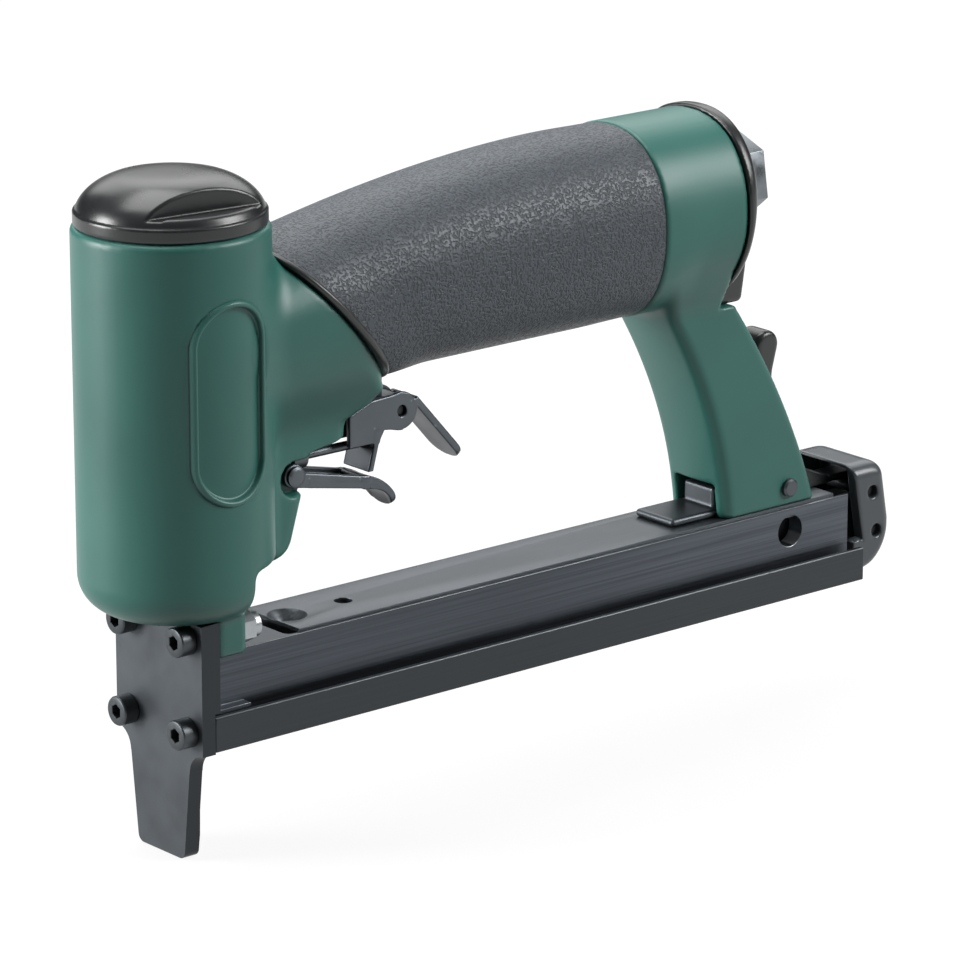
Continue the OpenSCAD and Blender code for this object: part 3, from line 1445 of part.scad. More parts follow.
module cap_pin() {
    color(oxide) translate([cap_pin_x, 0, cap_pin_z]) bar_y(slide_pin_d, slide_cap_w - 2 * slide_pin_sink);
}

// Inverted channel that the staples straddle, slotted for the pusher
module staple_core() {
    core_foot_z = rail_floor_z + seat_gap;
    color(steel) difference() {
        run_x(core_front_x, core_back_x - core_front_x) difference() {
            translate([-core_w / 2, core_foot_z]) square([core_w, core_top_z - core_foot_z]);
            translate([core_wall - core_w / 2, core_foot_z - over])
                square([core_w - 2 * core_wall, core_top_z - core_wall - core_foot_z + over]);
        }
        span([core_front_x - over, -core_slot_w / 2, core_top_z - core_wall - over],
            [magazine_l - core_slot_end, core_slot_w / 2, core_top_z + over]);
        translate([cap_pin_x, 0, cap_pin_z]) bar_y(slide_pin_d + 2 * run_gap, wide);
        // The part inside the cap drops to clear its floor
        span([cap_front_x - over, -core_w, core_foot_z - over],
            [core_back_x + over, core_w, cap_pin_z - slide_pin_d + over / 2]);
    }
}

module staple_pusher() {
    top_z = core_top_z + pusher_gap;
    outer_w = core_w + 2 * pusher_gap + 2 * pusher_wall;
    web = core_slot_w - 4 * pusher_gap;
    color(black) difference() {
        span([pusher_front_x, -outer_w / 2, magazine_foot_z + over],
            [pusher_front_x + pusher_l, outer_w / 2, top_z + pusher_wall]);
        difference() {
            span([pusher_front_x - over, -core_w / 2 - pusher_gap, nose_reach],
                [pusher_front_x + pusher_l + over, core_w / 2 + pusher_gap, top_z]);
            span([pusher_front_x - over, -web / 2, pusher_block_foot_z],
                [pusher_front_x + pusher_l + over, web / 2, top_z + over]);
            span([pusher_front_x - over, -pusher_block_w / 2, pusher_block_foot_z],
                [pusher_front_x + pusher_l + over, pusher_block_w / 2, pusher_block_top_z]);
        }
    }
}

module pusher_spring() {
    front_x = pusher_front_x + pusher_l + seat_gap;
    color(steel) translate([front_x, 0, cap_pin_z]) rotate([0, 90, 0])
        tube_z(spring_r, spring_wire, 0, cap_pin_x - slide_pin_d - front_x);
}

housing();
handle_grip();
top_cap();
cap_seal();
cylinder_sleeve();
sleeve_seals();
bumper();
end_cap();
air_inlet();
inlet_seal();
nose_plate();
drive_guide();
nose_screws();
nose_nuts();
magazine_body();
top_bar();
foot_bracket();
foot_screw();
trigger_lever();
trigger_pin();
trigger_rocker();
rocker_mount();
rocker_pin();
valve_rod();
rod_bush();
rod_seal();
rod_spring();
piston();
piston_seal();
driver_blade();
driver_pin();
head_valve();
head_valve_seal();
head_valve_spring();
latch_lever();
latch_pin();
latch_spring();
slide_rail();
slide_cap();
catch_pin();
cap_pin();
staple_core();
staple_pusher();
pusher_spring();
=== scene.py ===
import json
import math
from contextlib import contextmanager
from functools import reduce

import bmesh
import bpy
import numpy as np
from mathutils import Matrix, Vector

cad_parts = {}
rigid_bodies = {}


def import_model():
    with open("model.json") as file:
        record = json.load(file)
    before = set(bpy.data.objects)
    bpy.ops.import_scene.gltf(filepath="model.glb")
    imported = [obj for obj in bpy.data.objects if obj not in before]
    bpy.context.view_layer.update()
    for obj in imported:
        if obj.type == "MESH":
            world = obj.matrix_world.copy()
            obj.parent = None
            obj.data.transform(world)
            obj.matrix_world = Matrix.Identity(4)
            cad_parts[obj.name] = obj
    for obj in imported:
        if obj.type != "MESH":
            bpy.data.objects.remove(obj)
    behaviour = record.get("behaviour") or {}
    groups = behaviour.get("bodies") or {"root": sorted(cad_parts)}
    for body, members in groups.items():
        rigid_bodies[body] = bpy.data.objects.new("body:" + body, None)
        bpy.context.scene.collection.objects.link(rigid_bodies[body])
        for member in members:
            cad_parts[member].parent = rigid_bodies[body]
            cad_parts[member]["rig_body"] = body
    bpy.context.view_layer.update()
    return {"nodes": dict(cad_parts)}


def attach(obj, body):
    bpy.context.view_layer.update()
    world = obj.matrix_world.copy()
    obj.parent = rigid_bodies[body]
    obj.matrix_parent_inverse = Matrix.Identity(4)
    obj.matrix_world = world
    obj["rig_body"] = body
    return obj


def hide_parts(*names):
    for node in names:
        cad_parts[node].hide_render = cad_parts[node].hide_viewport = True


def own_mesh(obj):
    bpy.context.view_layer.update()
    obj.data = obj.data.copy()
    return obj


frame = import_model()
cadNodes = frame["nodes"]
scene = bpy.context.scene
mm = 0.001


# small tools: numbers

def srgb(hexText):
    # hex colour as seen on screen, to linear
    values = [int(hexText[i:i + 2], 16) / 255 for i in (1, 3, 5)]
    return tuple(v / 12.92 if v <= 0.04045 else ((v + 0.055) / 1.055) ** 2.4 for v in values) + (1.0,)


def easeOut(t):
    return np.sin(np.pi / 2 * np.clip(t, 0, 1))


def softStep(t):
    t = np.clip(t, 0, 1)
    return t * t * (3 - 2 * t)


# fields: distance to a surface in millimetres, negative inside

def overlap(*fields):
    return reduce(np.maximum, fields)


def smoothMin(a, b, r):
    h = np.clip(r - np.abs(a - b), 0, None) / r
    return np.minimum(a, b) - h * h * r / 4


def smoothMax(a, b, r):
    return -smoothMin(-a, -b, r)


def boxField(x, y, z, low, high, r):
    q = [np.abs(v - (l + h) / 2) - (h - l) / 2 + r for v, l, h in zip((x, y, z), low, high)]
    outside = np.sqrt(sum(np.maximum(v, 0) ** 2 for v in q))
    return outside + np.minimum(overlap(*q), 0) - r


def nearSegment(u, v, a, b):
    # share of the way from a to b where the segment is nearest, and the distance there
    du, dv = b[0] - a[0], b[1] - a[1]
    t = np.clip(((u - a[0]) * du + (v - a[1]) * dv) / (du * du + dv * dv), 0, 1)
    return t, np.hypot(u - a[0] - t * du, v - a[1] - t * dv)


def capsuleField(u, v, start, end, startR, endR):
    t, distance = nearSegment(u, v, start, end)
    return distance - startR - (endR - startR) * t


def polygonField(u, v, points):
    nearest, inside = np.inf, np.zeros(np.shape(u), bool)
    for a, b in zip(points, points[1:] + points[:1]):
        nearest = np.minimum(nearest, nearSegment(u, v, a, b)[1])
        if a[1] != b[1]:
            edge = a[0] + (b[0] - a[0]) * (v - a[1]) / (b[1] - a[1])
            inside ^= ((v < a[1]) != (v < b[1])) & (u < edge)
    return np.where(inside, -nearest, nearest)


def cornerField(u, v, r):
    # quarter plane u < 0, v < 0 with a rounded corner
    u, v = u + r, v + r
    return np.hypot(np.maximum(u, 0), np.maximum(v, 0)) + np.minimum(np.maximum(u, v), 0) - r


# meshes

def linked(name, data):
    obj = bpy.data.objects.new(name, data)
    scene.collection.objects.link(obj)
    return obj


def linkMesh(name, verts, faces):
    # vertices in millimetres
    mesh = bpy.data.meshes.new(name)
    mesh.from_pydata([tuple(v) for v in np.asarray(verts) * mm], [], [tuple(f) for f in faces])
    mesh.validate()
    mesh.shade_smooth()
    return linked(name, mesh)


@contextmanager
def editing(mesh):
    work = bmesh.new()
    work.from_mesh(mesh)
    yield work
    work.to_mesh(mesh)
    work.free()


skin = {"pulls": 4, "nudge": 0.05, "flattest": 0.05}


def fieldMesh(name, field, low, high, step):
    # skins the surface where field is 0: one vertex in each cell that it crosses, then pulled onto it
    axes = [np.arange(l - 2 * step, h + 3 * step, step) for l, h in zip(low, high)]
    values = field(*np.meshgrid(*axes, indexing="ij"))
    inside = values < 0
    cells = tuple(n - 1 for n in values.shape)
    corners = [(i, j, k) for i in (0, 1) for j in (0, 1) for k in (0, 1)]
    part = lambda corner: inside[tuple(slice(c, c + n) for c, n in zip(corner, cells))]
    count = sum(part(corner).astype(np.int8) for corner in corners)
    active = np.argwhere((count > 0) & (count < len(corners)))
    index = np.full(cells, -1, np.int64)
    index[tuple(active.T)] = np.arange(len(active))
    total, hits = np.zeros((len(active), 3)), np.zeros(len(active))
    for a in corners:
        for axis in range(3):
            if a[axis]:
                continue
            b = tuple(1 if i == axis else a[i] for i in range(3))
            va, vb = (values[tuple((active + c).T)] for c in (np.array(a), np.array(b)))
            crossed = (va < 0) != (vb < 0)
            t = np.where(crossed, va / np.where(crossed, va - vb, 1), 0)
            point = np.array(a, float) + t[:, None] * (np.array(b) - np.array(a))
            total += point * crossed[:, None]
            hits += crossed
    origin = np.array([axis[0] for axis in axes])
    verts = origin + step * (active + total / hits[:, None])
    for _ in range(skin["pulls"]):
        nudge, f = step * skin["nudge"], field(*verts.T)
        slope = np.stack([(field(*(verts + nudge * e).T) - f) / nudge for e in np.eye(3)], 1)
        move = -f[:, None] * slope / np.maximum((slope ** 2).sum(1), skin["flattest"])[:, None]
        verts = verts + np.clip(move, -step / 2, step / 2)
    faces = []
    for axis in range(3):
        u, v = (axis + 1) % 3, (axis + 2) % 3
        here = [slice(1, -1)] * 3
        here[axis] = slice(0, -1)
        there = list(here)
        there[axis] = slice(1, None)
        a, b = inside[tuple(here)], inside[tuple(there)]
        for leaving in (True, False):
            edge = np.argwhere(a & ~b if leaving else ~a & b)
            base = edge + np.array([0 if i == axis else 1 for i in range(3)])
            quad = []
            for du, dv in ((-1, -1), (0, -1), (0, 0), (-1, 0)):
                cell = base.copy()
                cell[:, u] += du
                cell[:, v] += dv
                quad.append(index[tuple(cell.T)])
            faces.append(np.stack(quad if leaving else quad[::-1], 1))
    return linkMesh(name, verts, np.concatenate(faces))


def ringMesh(name, rings, closed=False):
    # skins rings of points; closed joins the last ring to the first
    n, m = len(rings[0]), len(rings)
    faces = []
    for j in range(m if closed else m - 1):
        k = (j + 1) % m
        faces += [(j * n + i, j * n + (i + 1) % n, k * n + (i + 1) % n, k * n + i) for i in range(n)]
    return outward(linkMesh(name, np.concatenate(rings), faces))


def outward(obj):
    # one skin, facing out
    with editing(obj.data) as work:
        bmesh.ops.remove_doubles(work, verts=work.verts, dist=0.0005 * mm)
        bmesh.ops.recalc_face_normals(work, faces=work.faces)
    return obj


def crease(obj, degrees):
    # hard shading along edges sharper than that
    with editing(obj.data) as work:
        for edge in work.edges:
            edge.smooth = len(edge.link_faces) == 2 and edge.calc_face_angle(0) < math.radians(degrees)
    return obj


def turned(name, centre, axis, profile, sides=48, hardFrom=28):
    # lathe: profile gives (along the axis, radius) or (along, width across flats, "hex")
    along = np.eye(3)["xyz".index(axis)]
    u, v = np.roll(along, 1), np.roll(along, 2)
    angles = 2 * np.pi * np.arange(sides) / sides
    flats = 1 / np.cos((angles + np.pi / 6) % (np.pi / 3) - np.pi / 6)
    rings = []
    for step in profile:
        r = step[1] / 2 * flats if len(step) == 3 else np.full(sides, float(step[1]))
        around = np.outer(r * np.cos(angles), u) + np.outer(r * np.sin(angles), v)
        rings.append(np.array(centre) + step[0] * along + around)
    return crease(ringMesh(name, rings), hardFrom)


def paint(obj, material):
    obj.data.materials.clear()
    obj.data.materials.append(material)


def place(obj, material, node):
    # the piece takes its body from the CAD node that it stands for, and that node is hidden
    paint(obj, material)
    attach(obj, cadNodes[node]["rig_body"])
    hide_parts(node)
    return obj


def addDetail(obj, material):
    # a piece beside a fixed CAD node, on the tool's body
    paint(obj, material)
    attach(obj, "tool")


broken = {"weld": 0.002, "flat": 0.4, "hardFrom": 32, "shadeFrom": 20, "segments": 2}


def bevelled(node, name, material, width):
    # a copy of a CAD node, with its hard edges broken
    obj = linked(name, cadNodes[node].data.copy())
    with editing(obj.data) as work:
        bmesh.ops.remove_doubles(work, verts=work.verts, dist=broken["weld"] * mm)
        flat = math.radians(broken["flat"])
        bmesh.ops.dissolve_limit(work, angle_limit=flat, verts=work.verts, edges=work.edges)
        hard = [edge for edge in work.edges if len(edge.link_faces) == 2
                and edge.calc_face_angle(0) > math.radians(broken["hardFrom"])]
        bmesh.ops.bevel(work, geom=hard, offset=width * mm, segments=broken["segments"], profile=0.5,
                        affect="EDGES", clamp_overlap=True)
    obj.data.shade_smooth()
    return place(crease(obj, broken["shadeFrom"]), material, node)


# node trees

def addNode(tree, kind, inputs=None, **settings):
    node = tree.nodes.new(kind)
    for key, value in settings.items():
        setattr(node, key, value)
    for key, value in (inputs or {}).items():
        if isinstance(value, bpy.types.NodeSocket):
            tree.links.new(value, node.inputs[key])
        else:
            node.inputs[key].default_value = value
    return node


def newTree(name, **sockets):
    tree = bpy.data.node_groups.new(name, "GeometryNodeTree")
    tree.interface.new_socket("Geometry", in_out="INPUT", socket_type="NodeSocketGeometry")
    for key, kind in sockets.items():
        tree.interface.new_socket(key, in_out="INPUT", socket_type="NodeSocket" + kind)
    tree.interface.new_socket("Geometry", in_out="OUTPUT", socket_type="NodeSocketGeometry")
    return tree, addNode(tree, "NodeGroupInput").outputs


def endTree(tree, geometry, finish):
    real = addNode(tree, "GeometryNodeRealizeInstances", {"Geometry": geometry})
    painted = addNode(tree, "GeometryNodeSetMaterial", {
        "Geometry": real.outputs[0], "Material": finish})
    addNode(tree, "NodeGroupOutput", {"Geometry": painted.outputs[0]})
    return tree


def rowTree():
    # copies of a piece along a line
    tree, given = newTree("fastenerRow", Count="Int", Start="Vector", Offset="Vector", Finish="Material")
    line = addNode(tree, "GeometryNodeMeshLine", {
        "Count": given["Count"], "Start Location": given["Start"], "Offset": given["Offset"]})
    copies = addNode(tree, "GeometryNodeInstanceOnPoints", {
        "Points": line.outputs[0], "Instance": given["Geometry"]})
    return endTree(tree, copies.outputs[0], given["Finish"])


def coilTree():
    # round wire wound on a straight axis
    tree, given = newTree("wireCoil", Turns="Float", Radius="Float", Length="Float", Wire="Float",
                          Centre="Vector", Turn="Vector", Finish="Material")
    path = addNode(tree, "GeometryNodeCurveSpiral", {
        "Resolution": 28, "Rotations": given["Turns"], "Start Radius": given["Radius"],
        "End Radius": given["Radius"], "Height": given["Length"]})
    section = addNode(tree, "GeometryNodeCurvePrimitiveCircle", {
        "Resolution": 10, "Radius": given["Wire"]})
    wire = addNode(tree, "GeometryNodeCurveToMesh", {
        "Curve": path.outputs[0], "Profile Curve": section.outputs[0], "Fill Caps": True})
    smooth = addNode(tree, "GeometryNodeSetShadeSmooth", {"Geometry": wire.outputs[0]})
    turnedWire = addNode(tree, "GeometryNodeTransform", {
        "Geometry": smooth.outputs[0], "Translation": given["Centre"], "Rotation": given["Turn"]})
    return endTree(tree, turnedWire.outputs[0], given["Finish"])


def runTree(obj, tree, **values):
    # runs a Geometry Nodes tree on a piece and keeps the result as its plain mesh
    modifier = obj.modifiers.new(tree.name, "NODES")
    modifier.node_group = tree
    for item in tree.interface.items_tree:
        if item.in_out == "INPUT" and item.name in values:
            modifier[item.identifier] = values[item.name]
    graph = bpy.context.evaluated_depsgraph_get()
    result = obj.evaluated_get(graph)
    mesh = bpy.data.meshes.new_from_object(result, preserve_all_data_layers=True, depsgraph=graph)
    obj.modifiers.remove(modifier)
    obj.data = mesh
    return obj


# materials

def newMaterial(name, **sockets):
    material = bpy.data.materials.new(name)
    material.use_nodes = True
    tree = material.node_tree
    shader = tree.nodes["Principled BSDF"]
    for key, value in sockets.items():
        shader.inputs[key].default_value = value
    spot = addNode(tree, "ShaderNodeTexCoord").outputs["Object"]
    return material, tree, shader, spot


def perMillimetre(size):
    # texture scale for a pattern of that size, on coordinates in metres
    return 1 / (size * mm)


def noise(tree, spot, size, detail, distortion=0.0):
    return addNode(tree, "ShaderNodeTexNoise", {
        "Vector": spot, "Scale": perMillimetre(size), "Detail": detail,
        "Distortion": distortion}).outputs["Fac"]


def remap(tree, value, low, high, toLow=0.0, toHigh=1.0, kind="LINEAR"):
    return addNode(tree, "ShaderNodeMapRange", {
        "Value": value, "From Min": low, "From Max": high, "To Min": toLow, "To Max": toHigh},
        interpolation_type=kind).outputs["Result"]


def ease(tree, value, low, high, toLow=0.0, toHigh=1.0):
    return remap(tree, value, low, high, toLow, toHigh, "SMOOTHSTEP")


def blend(tree, factor, a, b, clamp=True):
    # a and b are colours, or sockets that give one
    return addNode(tree, "ShaderNodeMix", {"Factor": factor, 6: a, 7: b},
                   data_type="RGBA", clamp_factor=clamp).outputs[2]


def compute(tree, operation, *values):
    return addNode(tree, "ShaderNodeMath", dict(enumerate(values)), operation=operation).outputs[0]


def facing(tree):
    normal = addNode(tree, "ShaderNodeNewGeometry").outputs["Normal"]
    return addNode(tree, "ShaderNodeSeparateXYZ", {0: normal}).outputs


def sharpness(tree):
    return addNode(tree, "ShaderNodeNewGeometry").outputs["Pointiness"]


def dress(tree, shader, colour, gloss, height, strength, depth):
    # depth of the bump in millimetres
    bump = addNode(tree, "ShaderNodeBump", {
        "Height": height, "Strength": strength, "Distance": depth * mm}).outputs["Normal"]
    for key, socket in (("Base Color", colour), ("Roughness", gloss), ("Normal", bump)):
        tree.links.new(socket, shader.inputs[key])


def clouded(tree, spot, size, detail, dark, light, low, high):
    # tone and roughness that drift together
    cloud = noise(tree, spot, size, detail)
    return blend(tree, cloud, srgb(dark), srgb(light)), remap(tree, cloud, 0.3, 0.7, low, high)


def powderCoat():
    # satin powder coat on a die casting: soft sheen, a trace of orange peel, lighter on worn edges
    material, tree, shader, spot = newMaterial("greenPowderCoat")
    cloud = noise(tree, spot, 38, 3)
    tone = blend(tree, remap(tree, cloud, 0.3, 0.75), srgb("#245b53"), srgb("#2d685f"))
    worn = blend(tree, remap(tree, sharpness(tree), 0.52, 0.62, 0.0, 0.5), tone, srgb("#4b8277"))
    gloss = remap(tree, cloud, 0.3, 0.7, 0.36, 0.46)
    dress(tree, shader, worn, gloss, noise(tree, spot, 1.1, 2), 0.12, 0.08)
    return material


def grainedRubber():
    # soft rubber moulded in a leather-grained tool: worm-like lands, about 1 mm apart and a little shiny
    material, tree, shader, spot = newMaterial("grainedRubber")
    land = ease(tree, noise(tree, spot, 0.62, 0.3, 0.5), 0.34, 0.58)
    height = compute(tree, "MULTIPLY_ADD", noise(tree, spot, 0.6, 2), 0.3, land)
    top = blend(tree, noise(tree, spot, 30, 2), srgb("#3c434a"), srgb("#464e55"))
    tone = blend(tree, land, srgb("#353a3f"), top)
    dress(tree, shader, tone, remap(tree, land, 0.0, 1.0, 0.56, 0.44), height, 0.8, 0.22)
    return material


def mouldedBlack(name, dark, light):
    # nylon or nitrile rubber, moulded black: satin, with a fine spark-eroded texture
    material, tree, shader, spot = newMaterial(name, IOR=1.55)
    tone, gloss = clouded(tree, spot, 22, 4, dark, light, 0.24, 0.36)
    dress(tree, shader, tone, gloss, noise(tree, spot, 0.6, 2), 0.1, 0.08)
    return material


def blackOxide(name, dark, light, low, high, axis="X", paintedShade=0.0, wear=0.6):
    # steel, tumbled and blackened in hot salts: near black, a little blue, cloudy where handled
    material, tree, shader, spot = newMaterial(name, Metallic=0.85)
    tone, gloss = clouded(tree, spot, 12, 5, dark, light, low, high)
    worn = blend(tree, remap(tree, sharpness(tree), 0.54, 0.7, 0.0, wear), tone, srgb("#8b9093"))
    # painted shade: faces that look back along the axis are darkened towards near black
    shadeMask = remap(tree, facing(tree)[axis], -0.5, -0.85, 0.0, paintedShade)
    shadedTone = blend(tree, shadeMask, worn, srgb("#17191b"))
    dress(tree, shader, shadedTone, gloss, noise(tree, spot, 0.7, 3), 0.1, 0.06)
    return material


def brushedDark(name, dark, light, low, high, bareAndHighlight):
    # metal brushed along its length and blackened, with a painted sheen that makes it paler towards the rear
    material, tree, shader, spot = newMaterial(name, Metallic=0.9, Anisotropic=0.35)
    lines = addNode(tree, "ShaderNodeMapping", {
        "Vector": spot, "Scale": (perMillimetre(60), perMillimetre(0.5), perMillimetre(0.5))}).outputs[0]
    streak = addNode(tree, "ShaderNodeTexNoise", {
        "Vector": lines, "Scale": 1.0, "Detail": 4}).outputs["Fac"]
    along = addNode(tree, "ShaderNodeSeparateXYZ", {0: spot}).outputs["X"]
    # painted sheen: the brushed streaks get paler towards the rear
    paintedSheen = ease(tree, along, 80 * mm, 185 * mm, 0.0, 0.55)
    streakAndSheen = compute(tree, "MULTIPLY_ADD", paintedSheen, streak, streak)
    tone = blend(tree, streakAndSheen, srgb(dark), srgb(light), clamp=False)
    # bare metal and painted highlight: near white on the upward-facing broken top edges only
    up = facing(tree)["Z"]
    slope, flat = ease(tree, up, 0.25, 0.45, 0.0, bareAndHighlight), ease(tree, up, 0.93, 0.98, 1.0, 0.0)
    bareHighlitTone = blend(tree, compute(tree, "MULTIPLY", slope, flat), tone, srgb("#d8dbdc"))
    mixed = compute(tree, "MULTIPLY_ADD", noise(tree, spot, 55, 2), 0.6, streak)
    dress(tree, shader, bareHighlitTone, remap(tree, mixed, 0.5, 1.1, low, high), streak, 0.3, 0.08)
    return material


def platedMetal(name, dark, light, low, high):
    # plated or turned metal, with faint clouds from the bath or the lathe
    material, tree, shader, spot = newMaterial(name, Metallic=1.0)
    tone, gloss = clouded(tree, spot, 3, 4, dark, light, low, high)
    dress(tree, shader, tone, gloss, noise(tree, spot, 0.8, 3), 0.12, 0.05)
    return material


green = powderCoat()
rubber = grainedRubber()
nylon = mouldedBlack("mouldedBlackNylon", "#101213", "#1a1d1f")
greyNylon = mouldedBlack("handledBlackNylon", "#34393d", "#42484d")
sealRubber = mouldedBlack("nitrileRubber", "#17191a", "#262829")
oxide = blackOxide("blackOxideSteel", "#3f4347", "#54595d", 0.34, 0.5)
screwBlack = blackOxide("blackOxideScrew", "#383c3f", "#4b4f52", 0.36, 0.5)
# painted shade on faces that look back along Y for plate steel, and along X for the sheet levers
plateSteel = blackOxide("blackOxidePlate", "#3f4347", "#54595d", 0.34, 0.5, axis="Y", paintedShade=0.6, wear=0.0)
leverSteel = blackOxide("blackOxideSheet", "#4b5055", "#62676c", 0.3, 0.46, axis="X", paintedShade=0.85)
darkSteel = blackOxide("oiledPinSteel", "#1b1d1f", "#2b2e31", 0.4, 0.55)
# brushed metals: painted sheen towards the rear; magazine and rail also get a painted highlight on their
# upward-facing top edges
magazineBlack = brushedDark("brushedBlackAluminium", "#2d3237", "#5a5f66", 0.28, 0.46, 0.9)
railBlack = brushedDark("satinBlackSteel", "#35393c", "#414548", 0.34, 0.46, 0.9)
barBlack = brushedDark("brushedGreyAluminium", "#44484c", "#666b6f", 0.32, 0.5, 0.0)
zinc = platedMetal("brightZincPlate", "#8a8f92", "#b0b5b7", 0.24, 0.4)
zincGrey = platedMetal("greyPlatedSteel", "#5d6266", "#8a9094", 0.26, 0.42)
springSteel = platedMetal("drawnSpringSteel", "#7d8285", "#a3a8ab", 0.25, 0.4)
aluminium = platedMetal("turnedAluminium", "#a9adaf", "#cfd3d5", 0.25, 0.42)
print("materials ready")


# housing: one casting, sizes in millimetres

barrel = {"r": 22.5, "foot": 57.6, "top": 147.0, "round": 8.9, "topEdge": 1.6, "bore": 19.5, "floor": 72.0,
          "undercutX": 6.4, "undercutZ": 69.0, "undercutR": 3.0, "undercutEdge": 1.2}
label = {"z": 109.8, "halfW": 9.5, "halfH": 22.75, "depth": 1.5, "edge": 0.7, "edgeRun": 1.2}
lug = {"low": (0.0, 7.05, 48.6), "high": (8.0, 15.65, 78.0), "round": 1.2}
handle = {"frontZ": 118.0, "rearZ": 127.5, "frontH": 29.0, "rearH": 47.2, "frontW": 37.0, "rearW": 42.4,
          "ease": 120.06, "risePower": 0.9, "power": 2.25, "taper": 0.4, "taperX": 131.0, "taperRun": 14.0,
          "gripFront": 34.5, "gripRear": 130.5, "lean": 0.92, "neckGap": 0.15, "neckEdge": 1.0,
          "sleeve": 3.0, "coreGap": 0.2, "coreFront": 20.0, "coreRear": 140.0,
          "collarLap": 0.6, "collarEdge": 0.5, "end": 156.0, "endEdge": 1.0}
web = {"footX": 28.6, "footZ": 64.6, "kneeZ": 89.0, "shelfZ": 90.8, "throatZ": 95.0, "chinZ": 98.3,
       "topZ": 111.0, "lean": 0.3, "shelf": 9.4, "chin": 5.8, "jaw": 4.6, "edge": 4.5, "tuck": 2.025,
       "halfW": 7.0, "flare": 16.0, "gripGap": 0.3, "footR": 3.0, "topLap": 3.0, "topR": 1.0}
leg = {"frontX": 159.0, "depth": 30.7, "foot": 49.05, "height": 63.45, "halfW": 10.5, "widen": 1.0,
       "flare": 15.0, "flareFrom": 0.82, "corner": 2.6, "crown": 0.01, "frontLean": 0.08, "frontBow": 0.33,
       "rearLean": 0.322, "rearBow": 0.235, "rearScale": 0.9, "rearR": 1.6, "footR": 0.8, "topLap": 4.0,
       "slotY": 6.95, "slotTop": 57.6, "slotFront": 110.0}
trigger = {"x": 30.4, "z": 83.5, "pocketR": 4.2, "pocketX": 29.2, "pocketEnd": 46.0, "tongueY": 3.1}
rocker = {"x": 62.3, "z": 93.3, "slotY": 5.5, "slotFront": 44.9, "slotRear": 80.0, "slotFoot": 78.0,
          "roofZ": 98.0, "roofRise": 0.15, "roofTop": 99.3}
rod = {"z": 86.3, "boreR": 2.85, "boreX": 40.0, "boreHalf": 9.0}
latch = {"x": 180.5, "z": 53.6, "halfW": 4.0, "slotY": 4.3, "slotFoot": 175.8, "slotLean": 0.199,
         "slotTop": 96.6}
casting = {"lugFillet": 2.0, "neckFillet": 4.5, "webFillet": 4.0, "legFillet": 3.0, "tailSeatZ": 103.2,
           "boreEdge": 0.6, "slotEdge": 0.8, "latchEdge": 1.0, "rodEdge": 0.4,
           "grid": ((-23, -23, 48), (193, 23, 152.5), 0.9)}


def handleSize(x):
    t = easeOut(x / handle["ease"]) ** handle["risePower"]
    mix = lambda a, b: handle[a] + (handle[b] - handle[a]) * t
    return mix("frontZ", "rearZ"), mix("frontH", "rearH") / 2, mix("frontW", "rearW") / 2


gripMidZ = handleSize(np.array(handle["gripFront"]))[0]


def handleField(x, y, z, proud=0.0):
    # the lower half gets slimmer towards the rear
    midZ, halfH, halfW = handleSize(x)
    slim = handle["taper"] * softStep((x - handle["taperX"]) / handle["taperRun"])
    p = np.where(z < midZ, handle["power"] - slim, handle["power"])
    oval = (np.abs(y / (halfW + proud)) ** p + np.abs((z - midZ) / (halfH + proud)) ** p) ** (1 / p)
    return (oval - 1) * halfH


def ovalField(x, z):
    # plan distance to the bare oval's outline
    straight = label["halfH"] - label["halfW"]
    return np.hypot(x, np.maximum(np.abs(z - label["z"]) - straight, 0)) - label["halfW"]


def barrelField(x, y, z):
    f = cornerField(np.hypot(x, y) - barrel["r"], barrel["foot"] - z, barrel["round"])
    f = smoothMax(f, z - barrel["top"], barrel["topEdge"])
    sunk = label["depth"] * softStep((label["edge"] - ovalField(x, z)) / label["edgeRun"])
    f = f + np.where(y < 0, sunk, 0)  # the oval's inlay sits in here
    cut = smoothMax(barrel["undercutX"] - x, z - barrel["undercutZ"], barrel["undercutR"])
    return smoothMax(f, -cut, barrel["undercutEdge"])


def webField(x, y, z):
    ramp = lambda low, high: np.clip((z - web[low]) / (web[high] - web[low]), 0, 1)
    edge = (web["footX"] + web["lean"] * (np.minimum(z, web["kneeZ"]) - web["footZ"])
            + web["shelf"] * easeOut(ramp("kneeZ", "shelfZ"))
            + web["chin"] * ramp("throatZ", "chinZ")
            + web["jaw"] * easeOut(ramp("chinZ", "topZ"))
            - web["tuck"] * np.clip(1 - (z - web["footZ"]) / web["edge"], 0, 1) ** 2)
    edge = np.minimum(edge, handle["gripFront"] - handle["lean"] * (z - gripMidZ) - web["gripGap"])
    halfW = web["halfW"] + (web["flare"] - web["halfW"]) * softStep(ramp("shelfZ", "topZ"))
    f = cornerField(x - edge, np.abs(y) - halfW, web["edge"])
    f = smoothMax(f, web["footZ"] - z, web["footR"])
    return np.maximum(smoothMax(f, z - web["topZ"] - web["topLap"], web["topR"]), -x)


def legField(x, y, z):
    h = z - leg["foot"]
    share = h / leg["height"]
    front = leg["frontX"] - leg["frontLean"] * h - leg["frontBow"] * h * share
    back = leg["frontX"] + leg["depth"] - leg["rearLean"] * h - leg["rearBow"] * h * share
    top = softStep((share - leg["flareFrom"]) / (1 - leg["flareFrom"]))
    halfW = leg["halfW"] + leg["widen"] * share + (leg["flare"] - leg["halfW"] - leg["widen"]) * top
    f = cornerField(front + leg["crown"] * y * y - x, np.abs(y) - halfW, leg["corner"])
    f = smoothMax(f, (x - back) * leg["rearScale"], leg["rearR"])
    return np.maximum(smoothMax(f, -h, leg["footR"]), h - leg["height"] - leg["topLap"])


